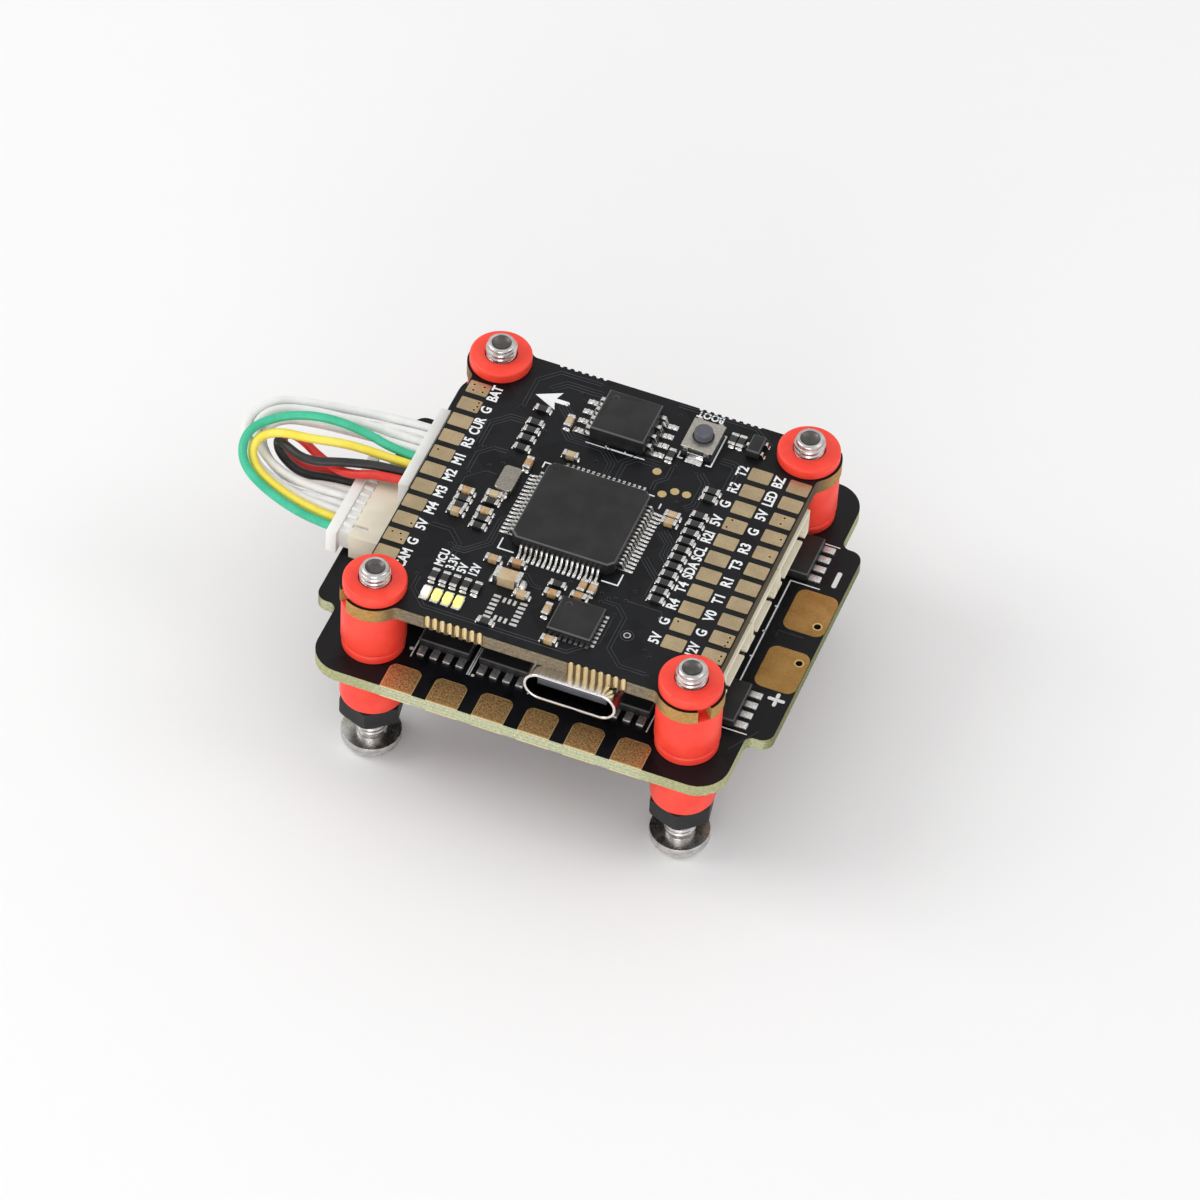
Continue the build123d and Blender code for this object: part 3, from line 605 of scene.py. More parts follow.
def landMaterial():
    # tinned pads, with gold test points and one peg hole painted black as painted shade
    recipe = Recipe("bareLands")
    fine = recipe.noise(5.0, 3.0, 0.6)
    gold = recipe.mix(recipe.step(fine, 0.3, 0.7), (0.60, 0.44, 0.20), (0.72, 0.56, 0.30))
    grey = recipe.mix(recipe.step(fine, 0.3, 0.7), (0.58, 0.57, 0.55), (0.88, 0.87, 0.85))
    test = (recipe.x > 2.0) * (recipe.y > 4.0)
    peg = (recipe.x > 6.9) * (recipe.y < -10.9) * (recipe.y > -12.9)
    colour = recipe.mix(peg, recipe.mix(test, grey, gold), (0.004, 0.004, 0.005))
    return recipe.use(Base_Color=colour, Metallic=1 - peg, Roughness=recipe.between(fine, 0.22, 0.4),
                      Normal=recipe.bump(fine, 0.006, 0.3))


def silkMaterial():
    # printed white ink, thin in places
    recipe = Recipe("whiteInk", Specular_IOR_Level=0.35)
    fine = recipe.noise(11.0, 3.0, 0.6)
    colour = recipe.mix(recipe.step(fine, 0.5, 0.8), (0.84, 0.85, 0.86), (0.58, 0.59, 0.61))
    return recipe.use(Base_Color=colour, Roughness=recipe.between(fine, 0.5, 0.7),
                      Normal=recipe.bump(fine, 0.01, 0.4))


fcMask = boardMaterial("fcMask", (0.10, 0.075, 0.04), (0.25, 0.20, 0.135), (0.42, 0.38, 0.30),
                       (0.06, 0.045, 0.02), (0.30, 0.15, 0.035), (0.52, 0.31, 0.10), groovePlating)
escMask = boardMaterial("escMask", (0.24, 0.25, 0.11), (0.58, 0.60, 0.40), (0.90, 0.94, 0.84),
                        (0.10, 0.11, 0.035), (0.22, 0.23, 0.10), (0.50, 0.50, 0.28), padPlating)
traceMask = mouldedMaterial("traceMask", (0.018, 0.020, 0.023), (0.030, 0.032, 0.036), 0.4, 9.0, 0.004, 0.4)
padGold = goldMaterial("padGold", (0.43, 0.335, 0.205), (0.59, 0.465, 0.285), 0.44, 7.0, (0.66, 0.55, 0.34))
motorGold = padRimMaterial("motorGold", (0.24, 0.12, 0.035), (0.92, 0.58, 0.25), 0.40, 5.0)
batteryGold = goldMaterial("batteryGold", (0.38, 0.205, 0.06), (0.54, 0.32, 0.115), 0.42, 7.0,
                           (0.75, 0.55, 0.25))
contactGold = goldMaterial("contactGold", (0.75, 0.52, 0.20), (0.90, 0.68, 0.32), 0.28, 6.0)
tin = tinMaterial("tinned", (0.55, 0.54, 0.52), (0.90, 0.89, 0.86), 0.24)
solder = tinMaterial("solder", (0.62, 0.61, 0.60), (0.92, 0.91, 0.90), 0.2)
dullTin = tinMaterial("dullTin", (0.60, 0.60, 0.59), (0.92, 0.91, 0.90), 0.5)
epoxy = mouldedMaterial("chipEpoxy", (0.012, 0.012, 0.0125), (0.020, 0.0195, 0.019), 0.46, 13.0, 0.014, 0.3,
                        (0.085, 0.085, 0.09))
blackGlaze = mouldedMaterial("blackGlaze", (0.010, 0.010, 0.012), (0.020, 0.020, 0.022), 0.26, 9.0, 0.006, 0.6)
cream = mouldedMaterial("creamNylon", (0.74, 0.68, 0.53), (0.80, 0.75, 0.62), 0.45, 8.0, 0.012)
white = mouldedMaterial("whiteNylon", (0.80, 0.80, 0.77), (0.86, 0.86, 0.84), 0.42, 8.0, 0.012)
nutNylon = mouldedMaterial("nutNylon", (0.007, 0.007, 0.008), (0.013, 0.013, 0.014), 0.5, 9.0, 0.02)
tongueGrey = mouldedMaterial("tongueGrey", (0.03, 0.034, 0.042), (0.055, 0.06, 0.072), 0.34, 9.0, 0.008, 0.5,
                             (0.22, 0.23, 0.26))
buttonGrey = mouldedMaterial("buttonGrey", (0.085, 0.085, 0.105), (0.12, 0.12, 0.145), 0.42, 9.0, 0.01)
switchBase = mouldedMaterial("switchBase", (0.02, 0.02, 0.022), (0.035, 0.035, 0.038), 0.5, 9.0, 0.01)
lampBase = mouldedMaterial("lampBase", (0.74, 0.72, 0.64), (0.84, 0.82, 0.75), 0.4, 8.0, 0.01)
ferrite = mouldedMaterial("ferrite", (0.045, 0.045, 0.048), (0.085, 0.085, 0.09), 0.6, 6.0, 0.03)
coverMetal = tinMaterial("coverMetal", (0.42, 0.395, 0.35), (0.54, 0.51, 0.46), 0.38)
crystalCan = tinMaterial("crystalCan", (0.30, 0.28, 0.24), (0.40, 0.375, 0.33), 0.26)
redSilicone = rubberMaterial()
screwSteel = screwMaterial()
ceramicTan = ceramicMaterial()
lampResin = lampMaterial()
usbSteel = shellMaterial()
whiteInk = silkMaterial()
print("materials ready")

# harness: eight wires between the two plugs; points in millimetres
harness = {
    "diameter": 0.85,
    # both ends lie straight in their plugs: reach in, reach out, level
    "upperEnd": (-15.2, -20.6, 18.05), "lowerEnd": (-20.0, -25.3, 15.1),
    "tones": {
        "white": ((0.84, 0.84, 0.82), (0.74, 0.75, 0.74)),
        "green": ((0.035, 0.42, 0.24), (0.06, 0.54, 0.33)),
        "yellow": ((0.82, 0.66, 0.05), (0.9, 0.76, 0.12)),
        "black": ((0.012, 0.012, 0.013), (0.026, 0.026, 0.027)),
        "red": ((0.62, 0.018, 0.014), (0.78, 0.04, 0.03)),
    },
    # length, place along Y in the upper and the lower plug, middle points
    "wires": {
        "white_wire_a": (39.7, 7.4, -3.2, (
            (-25.2, 6.7, 18.2), (-29.8, 5.9, 18.29), (-33.8, 5.0, 18.2), (-35.6, 1.9, 17.4),
            (-33.6, -1.2, 16.4), (-29.8, -2.7, 15.51))),
        "white_wire_b": (38.1, 6.4, -2.2, (
            (-25.2, 6.1, 17.19), (-29.6, 5.4, 17.4), (-33.4, 4.5, 17.31), (-35.1, 1.9, 16.49),
            (-33.2, -1.0, 15.4), (-29.5, -2.1, 14.51))),
        "white_wire_c": (36.3, 5.4, -1.2, (
            (-25.1, 5.4, 18.2), (-29.5, 4.9, 18.4), (-33.1, 4.0, 18.29), (-34.5, 1.9, 17.61),
            (-32.7, -0.4, 16.49), (-29.3, -1.7, 15.81))),
        "white_wire_d": (34.8, 4.4, -0.2, (
            (-25.0, 4.9, 17.19), (-29.3, 4.4, 17.4), (-32.6, 3.7, 17.31), (-33.9, 1.9, 16.31),
            (-32.1, -0.1, 15.31), (-29.2, -1.1, 14.6))),
        "green_wire": (37.6, 3.4, -5.2, (
            (-24.4, 3.7, 19.2), (-28.4, 3.5, 19.61), (-32.0, 2.1, 19.5), (-34.4, -0.3, 18.79),
            (-33.6, -3.1, 17.49), (-30.2, -4.7, 16.49))),
        "yellow_wire": (34.2, 2.4, -4.2, (
            (-24.8, 2.1, 18.61), (-28.6, 0.9, 18.99), (-31.6, 0.7, 18.91), (-33.4, -0.4, 18.2),
            (-33.0, -2.1, 17.11), (-30.6, -3.6, 16.6))),
        "black_wire": (31.0, 1.4, 0.8, (
            (-24.6, 0.4, 17.99), (-28.0, -0.9, 17.9), (-30.7, 0.3, 17.9), (-32.0, 1.6, 16.9),
            (-31.5, 1.1, 15.4), (-28.8, 0.0, 14.8))),
        "red_wire": (31.4, 0.4, 1.8, (
            (-24.4, -0.2, 16.9), (-27.6, 1.3, 16.49), (-30.3, 2.9, 16.6), (-32.1, 3.4, 15.81),
            (-31.8, 2.7, 14.3), (-29.2, 1.3, 14.01))),
    },
}


def wireRoute(name):
    length, upperY, lowerY, middle = harness["wires"][name]
    inside, outside, level = harness["upperEnd"]
    lowInside, lowOutside, lowLevel = harness["lowerEnd"]
    return ((inside, upperY, level), (outside, upperY, level), *middle,
            (lowOutside, lowerY, lowLevel), (lowInside, lowerY, lowLevel))


def makeWire(name):
    points = wireRoute(name)
    colour = name.split("_")[0]
    data = bpy.data.curves.new(name + "Line", "CURVE")
    data.dimensions = "3D"
    data.bevel_depth = harness["diameter"] / 2 * mm
    data.bevel_resolution = 6
    data.resolution_u = 12
    data.use_fill_caps = True
    spline = data.splines.new("NURBS")
    spline.points.add(len(points) - 1)
    for point, place in zip(spline.points, points):
        point.co = (*(v * mm for v in place), 1)
    spline.order_u = 3
    spline.use_endpoint_u = True
    wire = bpy.data.objects.new(name + "Insulation", data)
    bpy.context.scene.collection.objects.link(wire)
    return keep(wire, "stack", "wire_" + colour, wireMaterial(name + "Skin", *harness["tones"][colour]), name)


wires = {name: makeWire(name) for name in harness["wires"]}
print("harness laid")

# plugs, headers and sockets
connectors = {"edge": 0.06, "plugs": ("fc_plug", "esc_plug"), "headers": ("fc_header", "esc_header"),
              "sockets": ("front_socket", "middle_socket", "rear_socket")}
plugShells = [keepCad(node, node + "Shell", connectors["edge"], "white_plastic", white, 50)
              for node in connectors["plugs"]]
for node in connectors["headers"] + connectors["sockets"]:
    keepCad(node, node + "Shell", connectors["edge"], "cream_plastic", cream, 50)
rib = soften(box((0, 0, 0), (1.0, 0.42, 0.36), -1), 0.06)
ribs = copyTo(rib, [(-21.98, 1.8 - way, 15.95, 0) for way in range(8)], "plugRibs")
keep(ribs, "stack", "white_plastic", white)
paint(tin, "header_pins", "socket_pins", "plug_terminals")
# the plugs, their ribs and terminals are gathered with each wire's end and size, but nothing uses them
ends = [*plugShells, ribs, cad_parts["plug_terminals"]]
for name, wire in wires.items():
    [v * mm for v in wireRoute(name)[0]]
    harness["wires"][name][0] * mm
    harness["diameter"] * mm
    ends if name == "white_wire_a" else []
print("connectors ready")

# boards, pads and printing
paint(fcMask, "fc_board")
paint(escMask, "esc_board")
padCorner = {"round": 0.13, "tall": 0.01}
padPlates = trimCorners(fromCad("fc_solder_pads", "fcPadPlates"), padCorner["round"], padCorner["tall"], 2)
keep(padPlates, "stack", "gold_pad", padGold, "fc_solder_pads")
# motor pads: rounded inwards, square where they meet the board's edge
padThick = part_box("motor_pads")[1].z / mm - escTop
motorPad = box((0, 0, 0), (motorPads["wide"], motorPads["long"], padThick), -1)
bevelEdges(motorPad, motorPads["corner"], 5, lambda a, b: abs(a.z - b.z) > 0.01 and a.y > 0)
padPlaces = [((number - 2.5) * motorPads["pitch"], row * motorPads["middle"], level, 0 if row < 0 else 180)
             for number in range(motorPads["count"]) for row in (-1, 1)
             for level in (escTop, escBottom - padThick)]
keep(copyTo(motorPad, padPlaces, "motorPadPlates"), "stack", "gold_pad", motorGold, "motor_pads")
paint(batteryGold, "battery_pads")
paint(landMaterial(), "bare_lands")

traces = {
    "width": 0.15, "rise": 0.045,
    # points of the first line, number of lines, distance between them
    "fc": (
        (((-5.4, 16.3), (-9.6, 16.3), (-11.4, 14.5), (-11.4, 10.9)), 2, 0.34),
        (((-4.9, 15.3), (-8.6, 15.3), (-9.9, 14.0)), 3, 0.34),
        (((2.0, 16.4), (9.6, 16.4), (11.6, 14.9)), 2, 0.3),
        (((-12.9, 4.7), (-12.9, 7.4), (-11.6, 8.7), (-10.3, 8.7)), 3, 0.33),
        (((-8.2, 12.0), (-6.9, 10.7), (-6.9, 9.3), (-5.9, 8.3), (-2.6, 8.3), (-1.4, 7.1), (-1.4, 5.6)),
         4, 0.3),
        (((-12.7, 1.2), (-12.7, 3.5), (-11.6, 4.6), (-10.4, 4.6)), 2, 0.35),
        (((-12.8, -0.6), (-12.8, 0.3), (-11.3, 1.8), (-10.2, 1.8)), 1, 0.3),
        (((0.2, 5.6), (0.2, 7.6), (1.0, 8.4), (3.0, 8.4)), 3, 0.36),
        (((5.9, 0.9), (7.0, -0.2), (7.0, -1.6), (7.8, -2.4)), 4, 0.3),
        (((5.6, -2.7), (7.6, -4.7), (7.6, -6.8)), 3, 0.3),
        (((-7.0, -2.2), (-8.0, -3.2), (-8.0, -6.2), (-9.6, -7.8), (-10.7, -7.8)), 3, 0.3),
        (((-13.4, -6.4), (-11.6, -6.4), (-10.4, -7.6), (-10.4, -9.4)), 2, 0.4),
        (((-5.2, -8.8), (-3.2, -8.8), (-2.2, -9.8), (-1.4, -9.8)), 2, 0.3),
        (((-12.2, -12.6), (-12.2, -14.2), (-10.4, -16.0), (3.6, -16.0), (5.9, -13.7), (5.9, -10.2)), 2, 0.33),
        (((4.4, -9.0), (5.7, -9.0), (6.7, -10.0), (6.7, -14.0), (8.4, -15.7), (11.0, -15.7)), 2, 0.33),
        (((6.4, -8.0), (9.6, -8.0), (9.8, -8.2), (9.8, -9.2)), 1, 0.3),
        (((6.6, 9.0), (7.4, 8.2), (7.4, 5.4), (6.8, 4.8)), 3, 0.32),
        (((8.0, 11.2), (9.2, 11.2), (9.4, 11.0), (9.4, 8.2)), 3, 0.34),
        (((3.6, 5.6), (3.6, 6.6), (4.4, 7.4), (4.4, 9.0)), 2, 0.32),
        (((-3.9, -6.9), (-3.9, -7.2), (-5.6, -8.9), (-5.6, -9.6)), 2, 0.3),
    ),
    "esc": (
        (((19.0, -14.6), (20.8, -11.6)), 1, 0.3),
        (((-19.0, -4.0), (-19.0, 8.0), (-17.6, 9.4)), 2, 0.34),
        (((18.2, -0.2), (18.2, 0.6), (20.6, 0.6)), 1, 0.3),
    ),
    "vias": (0.17, (
        (-11.4, 10.7), (-11.05, 10.7), (-9.7, 13.8), (-12.9, 4.5), (-12.55, 4.5), (-8.3, 12.1), (-5.4, 16.05),
        (-12.7, 1.0), (3.2, 8.4), (3.2, 8.05), (7.9, -2.5), (5.5, -2.6), (-7.0, -2.0), (-10.9, -7.8),
        (-13.6, -6.4), (-1.2, -9.8), (5.9, -10.0), (4.2, -9.0), (11.2, -15.7), (6.5, 9.1), (9.4, 8.0),
        (-12.3, -12.4), (6.2, -8.0), (4.4, 9.2), (-6.3, 13.6), (-6.8, 14.4), (3.9, -8.0), (4.7, -8.4),
        (5.3, -8.1), (6.6, -6.6), (-10.2, 3.3), (-11.3, 2.6), (9.9, -12.9), (10.6, -13.5), (-13.0, 14.4),
        (-12.3, 15.1), (2.6, 15.4), (-8.2, 8.6), (6.1, 5.1), (7.1, 0.9), (-5.8, -7.4), (0.8, -7.9),
        (-2.5, 6.9))),
}


def sideways(points, shift):
    # the same line moved sideways, with its corners mitred
    moved = []
    for number, (x, y) in enumerate(points):
        before = points[max(number - 1, 0)]
        after = points[min(number + 1, len(points) - 1)]
        one = Vector((x - before[0], y - before[1])) if number else Vector((after[0] - x, after[1] - y))
        two = Vector((after[0] - x, after[1] - y)) if number < len(points) - 1 else one
        one, two = one.normalized(), two.normalized()
        half = (one + two).normalized()
        reach = shift / max(half.dot(one), 0.5)
        moved.append((x - half.y * reach, y + half.x * reach))
    return moved


def makeTraces(name, bundles, level, slot, material):
    data = bpy.data.curves.new(name, "CURVE")
    data.dimensions = "3D"
    data.bevel_depth = traces["width"] / 2 * mm
    data.bevel_resolution = 1
    for points, count, gap in bundles:
        for line in range(count):
            path = sideways(points, line * gap)
            spline = data.splines.new("POLY")
            spline.points.add(len(path) - 1)
            for point, (x, y) in zip(spline.points, path):
                point.co = (x * mm, y * mm, (level + traces["rise"] - traces["width"] / 2) * mm, 1)
    piece = bpy.data.objects.new(name, data)
    bpy.context.scene.collection.objects.link(piece)
    data.use_fill_caps = True
    choose(piece)
    bpy.ops.object.convert(target="MESH")
    return keep(smooth(settle(bpy.context.object), 60), "stack", slot, material)


makeTraces("fcTraces", traces["fc"], fcTop, "board_mask", traceMask)
makeTraces("escTraces", traces["esc"], escTop, "board_mask", traceMask)
viaRadius, viaPlaces = traces["vias"]
viaDot = smooth(sinkTop(drum((0, 0, 0), viaRadius, 0.05, 12), 0.07, 0.03), 50)
fcVias = copyTo(viaDot, [(x, y, fcTop - 0.02, 0) for x, y in viaPlaces], "fcVias")
keep(fcVias, "stack", "board_mask", traceMask)
print("traces laid")

# plated holes seen in some pads: black wells, painted shade inside the holes, with a bright lip
padHoles = {"radius": 0.13, "lip": 0.05, "level": 0.055, "places": (
    (-16.35, 11.45), (-15.35, 11.45), (-16.2, 10.75), (-15.3, 10.8), (-15.1, 9.4), (-15.05, 8.9), (-15.2, 8.4),
    (-16.35, 2.5), (-15.1, -7.0), (-16.3, -8.55), (-15.5, -8.55), (-15.2, -9.2), (11.6, 5.0), (11.4, 4.0),
    (15.9, 7.1), (15.8, 6.3), (16.5, 4.5), (16.45, -8.5), (16.45, -9.1), (16.35, -9.6), (16.5, -10.9),
    (11.45, -8.5), (16.5, -11.5), (16.3, 2.1))}
batteryHoles = {"radius": 0.46, "wall": 0.12, "places": ((21.35, 2.35), (21.35, -2.5))}
pegHole = (7.85, -11.9)


def ring(radius, wall, height, sides=20):
    # a flat ring standing on the origin
    piece = drum((0, 0, 0), radius, height, sides)
    pick(piece, "FACE", lambda centre, normal: abs(normal.z) > 0.9)
    bpy.ops.mesh.inset(thickness=wall * mm)
    bpy.ops.mesh.bridge_edge_loops()
    leaveEdit()
    return smooth(piece, 50)


holePlaces = [(x, y, fcTop + padHoles["level"], 0) for x, y in padHoles["places"]]
padRing = ring(padHoles["radius"] + padHoles["lip"], padHoles["lip"], 0.03, 14)
keep(copyTo(padRing, holePlaces, "padHoleRings"), "stack", "gold_pad", contactGold)
# each well is a black disc in the chip epoxy, standing in for the shade inside the hole
well = sinkTop(drum((0, 0, 0), padHoles["radius"], 0.02, 14), 0.04, 0.008)
keep(copyTo(well, holePlaces, "padHoleWells"), "stack", "board_mask", epoxy)
lipRing = ring(batteryHoles["radius"], batteryHoles["wall"], 0.03, 32)
batteryLips = copyTo(lipRing, [(x, y, escTop + 0.05, 0) for x, y in batteryHoles["places"]], "batteryHoleLips")
keep(batteryLips, "stack", "gold_pad", contactGold)
pegRim = copyTo(ring(0.66, 0.1, 0.04, 28), [(*pegHole, fcTop, 0)], "pegHoleRim")
keep(pegRim, "stack", "board_mask", traceMask)
pegLip = copyTo(ring(0.34, 0.09, 0.05, 24), [(*pegHole, fcTop + 0.03, 0)], "pegHoleLip")
keep(pegLip, "stack", "tinned_metal", tin)

printing = {
    "thick": 0.02, "size": 1.38, "wide": 0.86,
    "columns": (
        (-14.13, ("BAT", "G", "CUR", "R5", "M1", "M2", "M3", "M4", "5V", "G", "CAM")),
        (10.3, ("T2", "R2", "G", "5V", "R2I", "SCL", "SDA", "T4", "R4", "G", "5V")),
        (13.88, ("BZ", "LED", "5V", "G", "R3", "T3", "R1", "T1", "V0", "G", "12V"))),
    "rowPitch": 2.225, "lift": 0.01,
    "lamps": ((-10.9, "MCU"), (-9.8, "3.3V"), (-8.72, "5V"), (-7.62, "12V")), "lampY": -10.75, "lampSize": 1.2,
    "boot": (5.25, 16.4), "bootSize": 1.17,
    # strokes: x and y of both ends, width
    "fcStrokes": (
        (-6.8, -5.3, -6.8, -6.6, 0.14), (-6.8, -6.6, -5.3, -6.6, 0.14), (3.35, -6.6, 4.87, -6.6, 0.14),
        (4.87, -6.6, 4.87, -5.2, 0.14), (-6.75, 4.3, -6.75, 4.95, 0.14), (-6.75, 4.95, -6.2, 4.95, 0.14),
        (3.35, 4.98, 3.95, 4.98, 0.14), (4.9, 4.3, 4.9, 3.75, 0.14),
        (-4.2, 8.85, 1.45, 8.85, 0.16), (-2.35, 8.85, -2.35, 9.05, 0.12), (-0.45, 8.85, -0.45, 9.05, 0.12),
        (4.17, 11.2, 4.17, 10.45, 0.14), (4.17, 10.45, 4.6, 10.45, 0.14), (7.42, 10.45, 7.42, 14.6, 0.14),
        (6.95, 10.45, 7.42, 10.45, 0.14), (7.05, 14.6, 7.42, 14.6, 0.14)),
    "arrowTail": (-7.6, 12.6, -9.2, 12.6, 0.5),
    # middle, radius, stretch along and across, how far its back is pushed in and its wings swept
    "arrowHead": (-9.4, 12.6, 1.1, (1.2, 1.05), 0.75, 1.0),
    "escStrokes": (
        (21.0, 7.7, 21.0, 9.3, 0.45), (20.3, -7.4, 21.6, -7.4, 0.36), (20.95, -8.05, 20.95, -7.77, 0.36),
        (20.95, -7.03, 20.95, -6.75, 0.36),
        (17.1, -6.8, 17.1, 6.8, 0.14), (17.1, 6.8, 19.9, 6.8, 0.12), (17.1, 3.3, 16.95, 3.3, 0.2),
        (17.1, 0.0, 16.95, 0.0, 0.2), (17.1, -3.3, 16.95, -3.3, 0.2),
        (13.2, -12.35, 19.9, -12.35, 0.12), (13.2, 12.35, 19.9, 12.35, 0.12),
        (-11.45, -15.6, -11.45, -12.2, 0.13), (-5.95, -15.6, -5.95, -12.2, 0.13),
        (-5.75, -15.6, -5.75, -12.2, 0.13),
        (0.0, -15.6, 0.0, -12.2, 0.13), (5.85, -15.6, 5.85, -12.2, 0.13), (11.5, -15.6, 11.5, -12.2, 0.13),
        (-11.45, 15.6, -11.45, 12.2, 0.13), (-5.85, 15.6, -5.85, 12.2, 0.13), (0.0, 15.6, 0.0, 12.2, 0.13),
        (5.85, 15.6, 5.85, 12.2, 0.13), (11.5, 15.6, 11.5, 12.2, 0.13),
        (-11.75, -14.7, -11.7, -14.7, 0.34), (-5.42, -15.55, -5.4, -15.55, 0.3)),
}


def writeWord(word, x, y, level, turn, size, align="CENTER"):
    bpy.ops.object.select_all(action="DESELECT")
    bpy.ops.object.text_add(location=(x * mm, y * mm, level * mm), rotation=(0, 0, radians(turn)))
    text = bpy.context.object
    text.data.body = word
    text.data.size = size * mm
    text.data.align_x = align
    text.data.align_y = "CENTER"
    text.data.extrude = printing["thick"] / 2 * mm
    text.data.offset = 0.035 * mm
    text.data.resolution_u = 3
    narrow = 0.8 if len(word) > 2 else printing["wide"]
    text.scale = (narrow, 1, 1)
    choose(text)
    bpy.ops.object.convert(target="MESH")
    return settle(bpy.context.object)


def stroke(x0, y0, x1, y1, width, level):
    # a printed line with rounded ends
    length = max(((x1 - x0) ** 2 + (y1 - y0) ** 2) ** 0.5, 0.001) + width
    bpy.ops.object.select_all(action="DESELECT")
    bpy.ops.mesh.primitive_plane_add(size=1, location=((x0 + x1) / 2 * mm, (y0 + y1) / 2 * mm, level * mm))
    piece = bpy.context.object
    along = abs(x1 - x0) >= abs(y1 - y0)
    piece.scale = (length * mm, width * mm, 1) if along else (width * mm, length * mm, 1)
    settle(piece)
    bpy.ops.object.mode_set(mode="EDIT")
    raiseSheet(printing["thick"])
    return bevelEdges(piece, width * 0.42, 3, lambda a, b: abs(a.z - b.z) > 0.01)


def makeArrowHead():
    # a kite whose back corner is pushed in and whose wings are swept back
    x, y, radius, (along, across), notch, sweep = printing["arrowHead"]
    bpy.ops.object.select_all(action="DESELECT")
    bpy.ops.mesh.primitive_circle_add(vertices=4, radius=radius * mm, fill_type="NGON",
                                      location=(x * mm, y * mm, fcTop * mm))
    kite = bpy.context.object
    kite.scale = (along, across, 1)
    settle(kite)
    pick(kite, "EDGE", lambda a, b: False)
    bpy.ops.object.mode_set(mode="OBJECT")
    for corner in kite.data.vertices:
        corner.select = corner.co.x > (x + 0.9) * mm
    bpy.ops.object.mode_set(mode="EDIT")
    bpy.ops.mesh.select_mode(type="VERT")
    bpy.ops.transform.translate(value=(-notch * mm, 0, 0))
    leaveEdit()
    for corner in kite.data.vertices:
        corner.select = abs(corner.co.y - y * mm) > 0.5 * mm
    bpy.ops.object.mode_set(mode="EDIT")
    bpy.ops.transform.translate(value=(sweep * mm, 0, 0))
    raiseSheet(printing["thick"])
    return kite


words = []
wordLevel = fcTop + printing["lift"]
for columnX, columnWords in printing["columns"]:
    for row, word in enumerate(columnWords):
        rowY = (5 - row) * printing["rowPitch"]
        words.append(writeWord(word, columnX, rowY, wordLevel, 90, printing["size"]))
for lampX, word in printing["lamps"]:
    words.append(writeWord(word, lampX, printing["lampY"], wordLevel, 90, printing["lampSize"], "LEFT"))
words.append(writeWord("BOOT", *printing["boot"], wordLevel, 180, printing["bootSize"]))
keep(merged(words, "padLabels"), "stack", "board_mask", whiteInk)

# crossing lines lie at slightly different levels
marks = [makeArrowHead(), stroke(*printing["arrowTail"], fcTop + 0.006)]
marks += [stroke(*line, fcTop + 0.003 * (number % 3)) for number, line in enumerate(printing["fcStrokes"])]
keep(merged(marks, "fcMarks"), "stack", "board_mask", whiteInk)
escMarks = merged([stroke(*line, escTop + 0.003 * (number % 3))
                   for number, line in enumerate(printing["escStrokes"])], "escMarks")
keep(escMarks, "stack", "board_mask", whiteInk)
print("printing done")

# chips
chips = {"edge": 0.07,
         "corner": 0.5, "tall": 0.11,     # the big chip's cut corners
         "bodies": ("flash_chip", "osd_chip", "transistor", "top_mosfets", "bottom_mosfets",
                    "motor_control_chips", "underside_chips")}
for node in chips["bodies"]:
    keepCad(node, node + "Body", chips["edge"], "chip_black", epoxy, 30)
mcuBody = trimCorners(fromCad("mcu_chip", "mcu_chipBody", 0.0, 30), chips["corner"], chips["tall"])
keep(soften(mcuBody, chips["edge"], 2, 30), "stack", "chip_black", epoxy, "mcu_chip")
keepCad("current_shunts", "shuntBodies", 0.06, "resistor_black", blackGlaze)
keepCad("power_inductors", "inductorBodies", 0.15, "ferrite", ferrite)
keepCad("mcu_leads", "mcuLegs", 0.02, "tinned_metal", tin, 30)
keepCad("flash_leads", "flashLegs", 0.03, "tinned_metal", tin, 30)
keepCad("transistor_leads", "transistorLegs", 0.03, "tinned_metal", tin, 30)
keepCad("top_mosfet_leads", "topMosfetLegs", 0.05, "tinned_metal", dullTin, 30)
keepCad("bottom_mosfet_leads", "bottomMosfetLegs", 0.05, "tinned_metal", dullTin, 30)


def solderHeap(length, width, height, toe):
    # a fillet of solder: high at the lead on its left, thin at its right end
    piece = box((0, 0, 0), (length, width, height), -1)
    pick(piece, "EDGE", lambda a, b: a.z > height * 0.9 and b.z > height * 0.9 and a.x > 0 and b.x > 0)
    bpy.ops.transform.translate(value=(0, 0, -(height - toe) * mm))
    bpy.ops.mesh.select_all(action="SELECT")
    bpy.ops.mesh.subdivide(number_cuts=1, smoothness=0.5)
    leaveEdit()
    applyModifier(piece, "SUBSURF", levels=1, render_levels=1)
    return smooth(piece, 80)


solderPads = {
    # pads along the edges of a chip: how far the pads and the solder lie beyond the leads' feet
    "mcu": {"centre": (-0.93, -0.85), "half": 5.0, "pitch": 0.5, "count": 16, "turns": (0, 90, 180, 270),
            "pad": (1.5, 0.28, 0.06), "round": 0.025, "padOut": 0.75,
            "heap": (0.4, 0.24, 0.14, 0.05), "heapOut": 1.15},
    "flash": {"centre": (-1.45, 11.8), "half": 2.625, "pitch": 1.27, "count": 4, "turns": (0, 180),
              "pad": (1.75, 0.62, 0.07), "round": 0.03, "padOut": 0.95,
              "heap": (0.5, 0.56, 0.24, 0.06), "heapOut": 1.45},
}


def padRow(spec, offset):
    x, y = spec["centre"]
    reach = spec["half"] + offset
    places = []
    for turn in spec["turns"]:
        a = radians(turn)
        for number in range(spec["count"]):
            along = (number - (spec["count"] - 1) / 2) * spec["pitch"]
            places.append((x + reach * cos(a) - along * sin(a),
                           y + reach * sin(a) + along * cos(a), fcTop, turn))
    return places


